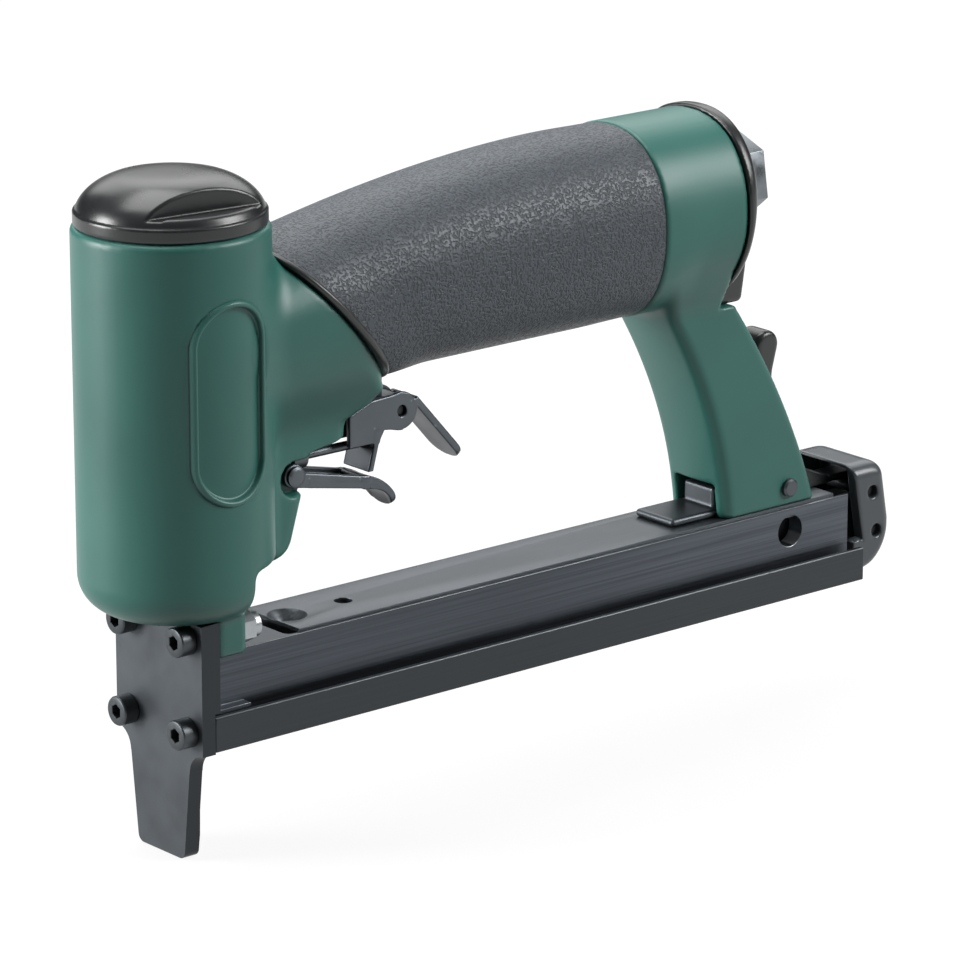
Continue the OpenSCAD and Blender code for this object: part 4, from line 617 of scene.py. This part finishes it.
def housingCuts(x, y, z):
    # hollow forms, each with the rounding of its edge
    wide = np.abs(y)
    slotEdge = casting["slotEdge"]
    yield overlap(np.hypot(x, y) - barrel["bore"], barrel["floor"] - z), casting["boreEdge"]
    yield overlap(handle["end"] - x, casting["tailSeatZ"] - z), casting["boreEdge"]
    yield overlap(wide - leg["slotY"], z - leg["slotTop"], leg["slotFront"] - x), slotEdge
    slotX = latch["slotFoot"] - latch["slotLean"] * (z - latch["z"])
    slot = overlap(wide - latch["slotY"], slotX - x, z - latch["slotTop"], latch["z"] - z)
    yield slot, casting["latchEdge"]
    ear = np.hypot(x - trigger["pocketX"], z - trigger["z"]) - trigger["pocketR"]
    run = overlap(trigger["pocketX"] - x, x - trigger["pocketEnd"],
                  np.abs(z - trigger["z"]) - trigger["pocketR"])
    yield overlap(np.minimum(ear, run), trigger["tongueY"] - wide), slotEdge
    roof = rocker["roofZ"] + rocker["roofRise"] * (x - rocker["slotFront"])
    room = overlap(rocker["slotFront"] - x, x - rocker["slotRear"], z - roof, z - rocker["roofTop"])
    yield overlap(room, wide - rocker["slotY"], rocker["slotFoot"] - z), slotEdge
    bore = np.hypot(y, z - rod["z"]) - rod["boreR"]
    yield overlap(bore, np.abs(x - rod["boreX"]) - rod["boreHalf"]), casting["rodEdge"]


def housingField(x, y, z):
    h, full = handle, handleField(x, y, z)
    slant = x + h["lean"] * (z - gripMidZ) - h["gripFront"] + h["neckGap"]
    neck = smoothMax(full, slant / math.hypot(1, h["lean"]), h["neckEdge"])
    core = full + h["sleeve"] + h["coreGap"]
    core = overlap(core, h["coreFront"] - x, x - h["coreRear"])
    rear = smoothMax(full, h["gripRear"] - h["collarLap"] - x, h["collarEdge"])
    rear = smoothMax(rear, x - h["end"], h["endEdge"])
    lugs = boxField(x, np.abs(y), z, lug["low"], lug["high"], lug["round"])
    f = smoothMin(barrelField(x, y, z), lugs, casting["lugFillet"])
    f = smoothMin(f, np.maximum(neck, -x), casting["neckFillet"])
    f = smoothMin(f, webField(x, y, z), casting["webFillet"])
    f = np.minimum(f, core)
    f = np.minimum(f, smoothMin(rear, legField(x, y, z), casting["legFillet"]))
    for cut, r in housingCuts(x, y, z):
        f = smoothMax(f, -cut, r)
    return f


housing = place(fieldMesh("housingCasting", housingField, *casting["grid"]), green, "housing")
print("housing", len(housing.data.polygons))


# bare oval on the barrel: a fine bead round a sunk field
# profile: offset from the outline, height above the barrel
oval = {"arcSteps": 40, "sideSteps": 12, "profile": [
    (1.15, -0.6), (0.9, -0.05), (0.65, 0.45), (0.35, 0.68), (0.0, 0.72), (-0.35, 0.6), (-0.58, 0.2),
    (-0.72, -0.4), (-0.9, -0.75), (-1.3, -0.8), (-3.0, -0.8), (-5.0, -0.8), (-7.0, -0.8), (-9.5, -0.8)]}


def ovalRing(offset, rise):
    straight, r = label["halfH"] - label["halfW"], label["halfW"] + offset
    outline = []
    for end, first in ((1, 0), (-1, 180)):
        for i in range(oval["arcSteps"] + 1):
            a = math.radians(first + 180 * i / oval["arcSteps"])
            outline.append((r * math.cos(a), label["z"] + end * straight + r * math.sin(a)))
        for i in range(1, oval["sideSteps"]):
            outline.append((-end * r, label["z"] + end * straight * (1 - 2 * i / oval["sideSteps"])))
    return [(x, -math.sqrt((barrel["r"] + rise) ** 2 - x * x), z) for x, z in outline]


inlay = ringMesh("bareOvalField", [ovalRing(*step) for step in oval["profile"]])
if np.mean([face.normal.y for face in inlay.data.polygons]) > 0:
    inlay.data.flip_normals()
addDetail(inlay, green)
print("oval")


# grip: moulded rubber sleeve, slanted at the front, with a smooth lip where the tool's grain ends; the lip is
# darker rubber, painted shade along the front rim
grip = {"sides": 128, "steps": 60, "edge": 1.4, "edgeSteps": 8, "gap": 0.1, "swell": 0.9, "swellRun": 0.16,
        "sink": 0.25, "sinkFrom": 0.8, "lipX": 1.05, "lipR": 1.15, "lipInset": 0.75, "lipSides": 16}


def gripRing(x, lean, inset):
    angles = 2 * np.pi * np.arange(grip["sides"]) / grip["sides"]
    across, up = (np.sign(v) * np.abs(v) ** (2 / handle["power"]) for v in (np.cos(angles), np.sin(angles)))
    mid = float(handleSize(np.array(float(x)))[0])
    xs = np.full(grip["sides"], float(x))
    for _ in range(6):  # the handle's size and the slant depend on each other
        midZ, halfH, halfW = handleSize(xs)
        xs = x - lean * (midZ + (halfH - inset) * up - mid)
    midZ, halfH, halfW = handleSize(xs)
    return np.stack([xs, (halfW - inset) * across, midZ + (halfH - inset) * up], 1)


def gripSleeve():
    edge = grip["edge"]
    front, rear = handle["gripFront"] + grip["gap"], handle["gripRear"] - grip["gap"]
    swell = lambda t: grip["swell"] * (1 - softStep(t / grip["swellRun"]))
    sink = lambda t: grip["sink"] * softStep((t - grip["sinkFrom"]) / (1 - grip["sinkFrom"]))
    proud = lambda t: swell(t) - sink(t)
    lean = lambda t: handle["lean"] * (1 - softStep(t))
    rings = []
    for a in np.linspace(math.pi / 2, 0, grip["edgeSteps"]):
        rings.append(gripRing(front + edge * (1 - math.sin(a)), lean(0), edge * (1 - math.cos(a)) - proud(0)))
    for t in np.linspace(0, 1, grip["steps"])[1:-1]:
        rings.append(gripRing(front + edge + (rear - front - 2 * edge) * t, lean(t), -proud(t)))
    for a in np.linspace(0, math.pi / 2, grip["edgeSteps"]):
        rings.append(gripRing(rear - edge * (1 - math.sin(a)), 0, edge * (1 - math.cos(a)) - proud(1)))
    inner = handle["sleeve"] - grip["gap"]
    for t in (1.0, 0.8, 0.6, 0.4, 0.2, 0.0):
        rings.append(gripRing(front + (rear - front) * t, lean(t), inner))
    place(ringMesh("gripSleeve", rings, closed=True), rubber, "handle_grip")
    # the front lip in darker rubber: painted shade along the grip's front rim
    shadeLip = []
    for a in np.linspace(0, 2 * math.pi, grip["lipSides"], endpoint=False):
        inset = grip["lipInset"] - proud(0) - grip["lipR"] * math.sin(a)
        shadeLip.append(gripRing(front + grip["lipX"] + grip["lipR"] * math.cos(a), lean(0), inset))
    addDetail(ringMesh("gripFrontShadeLip", shadeLip, closed=True), sealRubber)


gripSleeve()
print("grip")


# black mouldings

cap = {"seat": 147.05, "seatEdge": 0.8, "skirtR": 21.85, "skirtZ": 150.5, "skirtEdge": 0.5,
       "domeR": 21.8, "domeFoot": 147.96, "domeH": 11.3, "acrossPower": 2.6, "upPower": 2.0, "flat": 158.7,
       "flatEdge": 1.2, "turn": -96.0, "ledgeX": 14.3, "ledgeZ": 152.45, "ledgeEdge": 0.5,
       "troughW": 2.2, "troughZ": 152.0, "troughEdge": 0.25,
       "spigotR": 19.35, "spigotFoot": 142.1, "spigotTop": 148.0, "hollowR": 16.9, "hollowTop": 148.25,
       "domeHollowR": 11.0, "domeHollowTop": 154.5, "hollowEdge": 0.4,
       "grid": ((-22, -22, 141.5), (22, 22, 160), 0.4)}


def capField(x, y, z):
    r = np.hypot(x, y)
    up = np.maximum(z - cap["domeFoot"], 0) / cap["domeH"]
    dome = ((r / cap["domeR"]) ** cap["acrossPower"] + up ** cap["upPower"]) ** (1 / cap["upPower"])
    dome = smoothMax((dome - 1) * cap["domeH"], z - cap["flat"], cap["flatEdge"])
    f = np.minimum(dome, smoothMax(r - cap["skirtR"], z - cap["skirtZ"], cap["skirtEdge"]))
    f = smoothMax(f, cap["seat"] - z, cap["seatEdge"])
    turn = math.radians(cap["turn"])
    u = x * math.cos(turn) + y * math.sin(turn) - cap["ledgeX"]
    f = smoothMax(f, -overlap(-u, cap["ledgeZ"] - z), cap["ledgeEdge"])
    f = smoothMax(f, -overlap(-u, u - cap["troughW"], cap["troughZ"] - z), cap["troughEdge"])
    f = np.minimum(f, overlap(r - cap["spigotR"], cap["spigotFoot"] - z, z - cap["spigotTop"]))
    hollow = np.minimum(overlap(r - cap["hollowR"], z - cap["hollowTop"]),
                        overlap(r - cap["domeHollowR"], z - cap["domeHollowTop"]))
    return smoothMax(f, -hollow, cap["hollowEdge"])


place(fieldMesh("exhaustCap", capField, *cap["grid"]), nylon, "top_cap")

inlet = {"z": 132.4, "r": 5.75, "pitch": 1.34, "start": 159.5, "length": 12.0, "crest": 0.42}
endCap = {"front": 156.05, "frontEdge": 0.3, "back": 158.1, "backScale": 0.8, "backEdge": 1.4, "proud": 0.7,
          "hubR": 23.5, "hubRun": 12.5, "hubH": 7.4, "boreR": 7.85, "boreFront": 140.0, "boreEdge": 0.4,
          "tailLow": (156.05, -9.5, 103.25), "tailHigh": (167.2, 9.5, 118.1), "tailR": 1.4, "tailX": 165.2,
          "tailZ": 104.5, "tailLean": 0.16, "tailScale": 0.98, "tailEdge": 1.2, "tailFillet": 1.0,
          "grid": ((155, -22.5, 102), (168, 22.5, 153), 0.55)}


def endCapField(x, y, z):
    c = endCap
    r = np.hypot(y, z - inlet["z"])
    back = c["back"] + c["hubH"] * softStep((c["hubR"] - r) / c["hubRun"])
    f = handleField(np.full_like(x, handle["end"]), y, z, c["proud"])
    f = smoothMax(f, c["front"] - x, c["frontEdge"])
    f = smoothMax(f, (x - back) * c["backScale"], c["backEdge"])
    tail = boxField(x, y, z, c["tailLow"], c["tailHigh"], c["tailR"])
    tailBack = c["tailX"] + c["tailLean"] * (z - c["tailZ"])
    tail = smoothMax(tail, (x - tailBack) * c["tailScale"], c["tailEdge"])
    f = smoothMin(f, tail, c["tailFillet"])
    return smoothMax(f, -overlap(r - c["boreR"], c["boreFront"] - x), c["boreEdge"])


place(fieldMesh("handleEndCap", endCapField, *endCap["grid"]), nylon, "end_cap")

slideCap = {"front": 201.65, "frontEdge": 0.8, "back": 214.55, "halfW": 12.0, "foot": 26.8, "footEdge": 2.0,
            "top": 55.5, "topEdge": 3.0, "heel": 11.5, "midZ": 39.8, "lean": 0.178, "shoulder": 4.5,
            "shoulderEdge": 2.6, "rake": 3.4, "rakeZ": 35.4, "roomEdge": 0.8,
            "rooms": (((190, -8.6, 28.4), (209.95, 8.6, 53.9)), ((190, -8.6, 33.9), (212.35, 8.6, 48.3))),
            "pins": ((208.35, 47.4), (209.85, 37.1)), "holeR": 1.65, "holeEdge": 0.5,
            "grid": ((201, -12.5, 26), (215.5, 12.5, 56), 0.42)}


def slideCapField(x, y, z):
    s = slideCap
    heelX, heelZ = s["back"] - s["heel"], s["foot"] + s["heel"]
    lower = np.hypot(np.maximum(x - heelX, 0), np.minimum(z - heelZ, 0)) - s["heel"]
    upper = x - s["back"] + s["lean"] * np.maximum(z - s["midZ"], 0)
    f = np.where(z < heelZ, lower, upper)
    f = smoothMax(smoothMax(f, z - s["top"], s["topEdge"]), s["foot"] - z, s["footEdge"])
    f = smoothMax(f, cornerField(np.abs(y) - s["halfW"], z - s["top"], s["shoulder"]), s["shoulderEdge"])
    rake = np.where(z > s["rakeZ"], s["rake"] * (s["top"] - z) / (s["top"] - s["rakeZ"]), 0)
    f = smoothMax(f, s["front"] + rake - x, s["frontEdge"])
    room, deep = (boxField(x, y, z, low, high, s["roomEdge"]) for low, high in s["rooms"])
    f = smoothMax(f, -np.minimum(room, deep), s["roomEdge"])
    for px, pz in s["pins"]:
        f = smoothMax(f, s["holeR"] - np.hypot(x - px, z - pz), s["holeEdge"])
    return f


place(fieldMesh("slideCapMoulding", slideCapField, *slideCap["grid"]), greyNylon, "slide_cap")

thumb = {"elbow": (177.3, 79.6), "tip": (179.2, 88.6), "rootR": 3.5, "elbowR": 3.2, "tipR": 3.7,
         "bend": 2.0, "hubR": 4.2, "edge": 1.6, "rootFillet": 0.8,
         "hookLow": (181, -3.3, 49.3), "hookHigh": (209.55, 3.3, 51.0), "hookEdge": 0.4,
         "gussetX": 184.7, "gussetZ": 57.8, "gussetFall": 0.3, "gussetSteep": 0.4, "gussetFront": 180.5,
         "gussetBack": 201.0, "gussetFillet": 0.6, "grid": ((174, -4.6, 48.5), (210.5, 4.6, 93), 0.42)}


def latchField(x, y, z):
    t, root = thumb, (latch["x"], latch["z"])
    arm = smoothMin(capsuleField(x, z, root, t["elbow"], t["rootR"], t["elbowR"]),
                    capsuleField(x, z, t["elbow"], t["tip"], t["elbowR"], t["tipR"]), t["bend"])
    f = np.minimum(arm, np.hypot(x - latch["x"], z - latch["z"]) - t["hubR"])
    f = smoothMax(f, np.abs(y) - latch["halfW"], t["edge"])
    hook = boxField(x, y, z, t["hookLow"], t["hookHigh"], t["hookEdge"])
    rise, run = z - t["gussetZ"], x - t["gussetX"]
    gusset = overlap(rise + t["gussetFall"] * run, rise + t["gussetSteep"] * run, t["hookLow"][2] - z,
                     t["gussetFront"] - x, x - t["gussetBack"], np.abs(y) - t["hookHigh"][1])
    return smoothMin(f, smoothMin(hook, gusset, t["gussetFillet"]), t["rootFillet"])


place(fieldMesh("latchThumbLever", latchField, *thumb["grid"]), nylon, "latch_lever")
print("mouldings")


# pressed levers: sheet steel with rounded, curled ends

sheet = {"t": 1.5, "halfW": 4.9, "edge": 0.5, "tipR": 4.4, "weld": 0.5, "holeEdge": 0.3, "earFillet": 0.8,
         "endEdge": 0.3}
finger = {"side": [(30.4, 84.45), (30.4, 80.65), (52.4, 76.5), (52.4, 79.4)], "ear": 2.85, "hole": 1.45,
          "floor": [(34.75, 80.11), (52.4, 76.5), (52.4, 78.0), (34.75, 81.61)],
          "curlX": 48.93, "curlZ": 66.36, "curlR": 13.4, "curlFrom": 75.0, "curlRun": 12.36, "curlLap": 2.0,
          "flank": 3.0, "flankRun": 9.0, "flankLap": 1.0,
          "heel": ((50.9, -4.9, 76.6), (52.7, 4.9, 79.2), 0.4),
          "grid": ((27, -5.2, 69.8), (62.2, 5.2, 86.8), 0.3)}


def wallField(y):
    return np.abs(np.abs(y) - sheet["halfW"] + sheet["t"] / 2) - sheet["t"] / 2


def fingerField(x, y, z):
    edge, wide, end, weld = sheet["edge"], np.abs(y) - sheet["halfW"], sheet["endEdge"], sheet["weld"]
    pivot = np.hypot(x - trigger["x"], z - trigger["z"])
    walls = smoothMin(polygonField(x, z, finger["side"]), pivot - finger["ear"], sheet["earFillet"])
    walls = smoothMax(walls, wallField(y), edge)
    base = smoothMax(polygonField(x, z, finger["floor"]), wide, edge)
    outer = np.hypot(x - finger["curlX"], z - finger["curlZ"]) - finger["curlR"]
    turn = np.arctan2(z - finger["curlZ"], x - finger["curlX"])
    run = (math.radians(finger["curlFrom"]) - turn) * (finger["curlR"] - sheet["t"] / 2)
    tip = cornerField(run - finger["curlRun"], wide, sheet["tipR"])
    curl = smoothMax(np.maximum(outer, -outer - sheet["t"]), tip, edge)
    curl = smoothMax(curl, -finger["curlLap"] - run, end)
    depth = finger["flank"] - (finger["flank"] - sheet["t"]) * softStep(run / finger["flankRun"])
    flank = smoothMax(np.maximum(outer, -outer - depth), wallField(y), edge)
    flank = smoothMax(smoothMax(flank, tip, edge), -finger["flankLap"] - run, end)
    blade = smoothMin(smoothMin(curl, flank, weld), boxField(x, y, z, *finger["heel"]), weld)
    f = smoothMin(smoothMin(walls, base, weld), blade, weld)
    return smoothMax(f, finger["hole"] - pivot, sheet["holeEdge"])


place(fieldMesh("fingerLever", fingerField, *finger["grid"]), leverSteel, "trigger_lever")

cheek = {"outline": [(46.7, 94.8), (53.5, 97.3), (62.3, 97.8), (62.3, 88.8), (57.1, 89.55), (55.5, 86.9),
                     (46.7, 86.9)], "ear": 4.5, "hole": 1.35, "room": 4.8, "inY": 3.4,
         "foot": [(52.2, 80.3), (53.7, 80.3), (55.5, 86.9), (55.5, 89.9), (54.0, 89.9), (54.0, 86.9)],
         "bladeX": 65.7, "bladeZ": 94.9, "bladeSlope": (0.6638, -0.7479), "bladeL": 22.6, "bladeT": 1.8,
         "bladeEdge": 0.6, "bladeFillet": 0.6, "grid": ((46, -5.2, 77.5), (82.2, 5.2, 98.3), 0.3)}


def rockerField(x, y, z):
    edge, wide = sheet["edge"], np.abs(y) - sheet["halfW"]
    pivot = np.hypot(x - rocker["x"], z - rocker["z"])
    cheeks = smoothMin(polygonField(x, z, cheek["outline"]), pivot - cheek["ear"], sheet["earFillet"])
    cheeks = smoothMax(cheeks, wallField(y), edge)
    foot = smoothMax(polygonField(x, z, cheek["foot"]), wide, edge)
    du, dv = cheek["bladeSlope"]
    along = (x - cheek["bladeX"]) * du + (z - cheek["bladeZ"]) * dv
    across = (z - cheek["bladeZ"]) * du - (x - cheek["bladeX"]) * dv
    half = cheek["bladeT"] / 2
    tip = cornerField(along - cheek["bladeL"], wide, sheet["tipR"])
    blade = smoothMax(np.abs(across - half) - half, tip, cheek["bladeEdge"])
    blade = smoothMax(blade, -along, sheet["endEdge"])
    blade = np.maximum(blade, -overlap(pivot - cheek["room"], np.abs(y) - cheek["inY"]))
    f = smoothMin(smoothMin(cheeks, foot, sheet["weld"]), blade, cheek["bladeFillet"])
    return smoothMax(f, cheek["hole"] - pivot, sheet["holeEdge"])


place(fieldMesh("rockerLever", rockerField, *cheek["grid"]), leverSteel, "trigger_rocker")

# boxes: low corner, high corner, rounding
bracket = {"plate": ((145.3, -6.9, 49.05), (171.8, 6.9, 51.0), 0.95),
           "block": ((160.0, -5.3, 49.05), (168.6, 5.3, 56.0), 0.7),
           "ears": ((164.3, 4.6, 49.05), (186.0, 6.9, 57.3), 0.4),
           "hole": 2.35, "holeEdge": 0.3, "blockFillet": 0.8,
           "grid": ((145, -7.2, 48.8), (186.4, 7.2, 57.6), 0.4)}


def bracketField(x, y, z):
    plate = boxField(x, y, z, *bracket["plate"])
    block = boxField(x, y, z, *bracket["block"])
    ears = boxField(x, np.abs(y), z, *bracket["ears"])
    ears = smoothMax(ears, bracket["hole"] - np.hypot(x - latch["x"], z - latch["z"]), bracket["holeEdge"])
    return np.minimum(smoothMin(plate, block, bracket["blockFillet"]), ears)


place(fieldMesh("footBracket", bracketField, *bracket["grid"]), oxide, "foot_bracket")
print("levers and bracket")


# turned pins across the tool: half of the profile as (along, radius), mirrored

def crossPin(name, node, material, x, z, ends):
    profile = ends + [(-along, r) for along, r in reversed(ends)]
    place(turned(name, (x, 0, z), "y", profile, 40), material, node)


def chamfered(half, r, chamfer):
    return [(-half, 0.0), (-half, r - chamfer), (chamfer - half, r)]


crossPin("latchPin", "latch_pin", oxide, latch["x"], latch["z"], chamfered(11.9, 2.3, 0.45))
crossPin("rockerPin", "rocker_pin", darkSteel, rocker["x"], rocker["z"], chamfered(3.9, 1.3, 0.25))
for (x, z), name, node in zip(slideCap["pins"], ("catchPin", "capPin"), ("catch_pin", "cap_pin")):
    crossPin(name, node, darkSteel, x, z, chamfered(10.4, 1.6, 0.3))
crossPin("triggerPin", "trigger_pin", leverSteel, trigger["x"], trigger["z"], [
    (-6.2, 0.0), (-6.2, 1.5), (-6.08, 2.0), (-5.8, 2.4), (-5.45, 2.5), (-5.2, 2.45), (-5.2, 1.4)])

# four socket head screws, in two rows of two: height, length, turns of thread that show behind the nut
screws = {"x": -5.6, "y": 11.15, "headR": 3.5, "headH": 4.0, "socket": 3.0, "depth": 2.2, "cone": 0.5,
          "shankR": 2.0, "point": 0.5, "pitch": 0.7, "groove": 0.28,
          "rows": {"upper": (53.5, 20.1, 5), "lower": (31.5, 16.0, 0)}}


def socketScrew(name, length, threads):
    s = screws
    profile = [(length, 0.0), (length, s["shankR"] - s["point"]), (length - s["point"], s["shankR"])]
    for i in range(threads):
        at = length - s["point"] - i * s["pitch"]
        profile += [(at - s["pitch"] / 2, s["shankR"] - s["groove"]), (at - s["pitch"], s["shankR"])]
    front, r = -s["headH"], s["headR"]
    floor = front + s["depth"]
    profile += [(0.0, s["shankR"]), (0.0, r - 0.15), (-0.15, r), (front + 0.45, r), (front + 0.12, r - 0.2),
                (front, r - 0.55), (front, s["socket"] + 0.25, "hex"), (front + 0.12, s["socket"], "hex"),
                (floor, s["socket"], "hex"), (floor + s["cone"], 0.0)]
    return turned(name, (0, 0, 0), "x", profile)


def joined(name, pieces):
    work = bmesh.new()
    for piece in pieces:
        work.from_mesh(piece.data)
        bpy.data.objects.remove(piece)
    mesh = bpy.data.meshes.new(name)
    work.to_mesh(mesh)
    work.free()
    return linked(name, mesh)


row = rowTree()
pairs = []
for side, (z, length, threads) in screws["rows"].items():
    start, offset = (screws["x"], -screws["y"], z), (0, 2 * screws["y"], 0)
    pairs.append(runTree(socketScrew(side + "Screw", length, threads), row, Count=2, Finish=screwBlack,
                         Start=tuple(v * mm for v in start), Offset=tuple(v * mm for v in offset)))
place(joined("noseScrews", pairs), screwBlack, "nose_screws")

# wire springs, r to the wire's middle, each listed with its anchor, the share kept and its joint; nothing
# here flattens them
springs = {
    "pusherSpring": {
        "node": "pusher_spring", "turns": 62.0, "r": 2.75, "wire": 0.42, "start": (17.65, 0, 37.1),
        "length": 188.9, "axis": "x", "joint": "pusher_slide", "anchor": (206.6, 0, 37.1), "keep": 0.3635},
    "rodSpring": {
        "node": "rod_spring", "turns": 4.0, "r": 2.05, "wire": 0.33, "start": (19.85, 0, 86.3),
        "length": 4.3, "axis": "x", "joint": "valve_push", "anchor": (19.8, 0, 86.3), "keep": 0.55},
    "latchSpring": {
        "node": "latch_spring", "turns": 1.4, "r": 1.8, "wire": 0.3, "start": (173.6, 0, 67.6),
        "length": 0.9, "axis": "x", "joint": "latch_release", "anchor": (173.4, 0, 67.6), "keep": 0.2},
    "headValveSpring": {
        "node": "head_valve_spring", "turns": 4.5, "r": 6.45, "wire": 0.52, "start": (0, 0, 145.3),
        "length": 8.6, "axis": "z", "joint": "head_valve_lift", "anchor": (0, 0, 154.5), "keep": 0.744}}
coil = coilTree()


def wound(name, material, axis, turns, r, wire, start, length):
    obj = linkMesh(name, np.zeros((0, 3)), [])
    runTree(obj, coil, Turns=turns, Radius=r * mm, Length=length * mm, Wire=wire * mm, Finish=material,
            Centre=tuple(v * mm for v in start), Turn=(0, math.pi / 2, 0) if axis == "x" else (0, 0, 0))
    return outward(obj)


def addSpring(name, node, joint, axis, anchor, keep, **form):
    spring = place(wound(name, springSteel, axis, **form), springSteel, node)
    tuple(v * mm for v in anchor)
    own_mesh(spring)


for name, settings in springs.items():
    addSpring(name, **settings)

# thread in the air inlet, pipe pitch
thread = wound("inletThread", oxide, "x", inlet["length"] / inlet["pitch"], inlet["r"], inlet["crest"],
               (inlet["start"], 0, inlet["z"]), inlet["length"])
addDetail(thread, oxide)
print("pins, screws, springs")

# metal pieces, with their edges broken by so many millimetres
for node, name, material, width in (
        ("nose_plate", "nosePlate", plateSteel, 0.5), ("drive_guide", "driveGuide", plateSteel, 0.12),
        ("nose_nuts", "lockNuts", zinc, 0.22), ("magazine_body", "magazineBody", magazineBlack, 0.32),
        ("top_bar", "topBar", barBlack, 0.25), ("rocker_mount", "rockerTongue", oxide, 0.3),
        ("slide_rail", "slideRail", railBlack, 0.3), ("air_inlet", "inletBush", zincGrey, 0.4),
        ("valve_rod", "valveRod", leverSteel, 0.2)):
    bevelled(node, name, material, width)
print("metal pieces")

# inner pieces keep their CAD form
finishes = {
    "cap_seal": sealRubber, "sleeve_seals": sealRubber, "bumper": sealRubber, "inlet_seal": sealRubber,
    "rod_seal": sealRubber, "piston_seal": sealRubber, "head_valve_seal": sealRubber, "head_valve": nylon,
    "cylinder_sleeve": aluminium, "piston": aluminium, "rod_bush": darkSteel, "driver_blade": springSteel,
    "driver_pin": springSteel, "staple_core": oxide, "staple_pusher": oxide, "foot_screw": oxide}
for node, material in finishes.items():
    paint(cadNodes[node], material)


# stage: pale floor, soft light, camera

paper = {"half": 6000, "z": -0.2, "glow": 0.87}


def floorMaterial():
    # matt white paper; eye, gloss and glass see it near white, with the tool's shadow kept
    material, tree, shader, _ = newMaterial("whitePaper", Roughness=0.9)
    path = addNode(tree, "ShaderNodeLightPath").outputs
    either = compute(tree, "MAXIMUM", path["Is Camera Ray"], path["Is Glossy Ray"])
    seen = compute(tree, "MAXIMUM", either, path["Is Transmission Ray"])
    tree.links.new(blend(tree, seen, srgb("#3e3e3d"), srgb("#f2f2f1")), shader.inputs["Base Color"])
    glow = addNode(tree, "ShaderNodeEmission")
    mixed = addNode(tree, "ShaderNodeMixShader", {
        0: compute(tree, "MULTIPLY", seen, paper["glow"]), 1: shader.outputs[0], 2: glow.outputs[0]})
    tree.links.new(mixed.outputs[0], tree.nodes["Material Output"].inputs["Surface"])
    return material


sides = ((-1, -1), (1, -1), (1, 1), (-1, 1))
corners = [(u * paper["half"], v * paper["half"], paper["z"]) for u, v in sides]
floor = linkMesh("floorPaper", corners, [(0, 1, 2, 3)])
floor.data.materials.append(floorMaterial())

# a dim room, lighter overhead: the softboxes do the work
world = bpy.data.worlds.new("studioWorld")
scene.world = world
world.use_nodes = True
tree = world.node_tree
around = addNode(tree, "ShaderNodeTexCoord").outputs["Generated"]
height = addNode(tree, "ShaderNodeSeparateXYZ", {0: around}).outputs["Z"]
room = tree.nodes["Background"].inputs
room["Color"].default_value = (1, 1, 1, 1)
tree.links.new(ease(tree, height, 0.1, 0.9, 0.03, 0.32), room["Strength"])

lamps = {  # place and target in metres, size in metres, power in watts
    "keySoftbox": {"at": (-0.91, 0.64, 0.36), "to": (0.03, 0, 0.09), "size": (0.42, 0.7), "watts": 19},
    "topSoftbox": {"at": (0.0, 0.3, 1.3), "to": (0.09, 0, 0.08), "size": (1.1, 0.8), "watts": 14},
    "sideSoftbox": {"at": (1.0, -0.95, 0.85), "to": (0.1, 0, 0.08), "size": (0.75, 0.7), "watts": 21},
    "backSoftbox": {"at": (0.85, 1.0, 0.95), "to": (0.09, 0, 0.08), "size": (1.7, 0.9), "watts": 10}}
view = {"at": (-0.69057, -0.92538, 0.42673), "to": (0.0899, 0.0, 0.0703), "lens": 200, "sensor": 36}


def aimed(name, data, at, to):
    obj = linked(name, data)
    obj.location = at
    obj.rotation_euler = (Vector(to) - Vector(at)).to_track_quat("-Z", "Y").to_euler()
    return obj


for name, lamp in lamps.items():
    light = bpy.data.lights.new(name, "AREA")
    light.shape, light.energy = "RECTANGLE", lamp["watts"]
    light.size, light.size_y = lamp["size"]
    aimed(name, light, lamp["at"], lamp["to"])

camera = aimed("camera", bpy.data.cameras.new("camera"), view["at"], view["to"])
camera.data.lens, camera.data.sensor_width = view["lens"], view["sensor"]
scene.camera = camera
scene.view_settings.view_transform = "Standard"
print("stage ready")
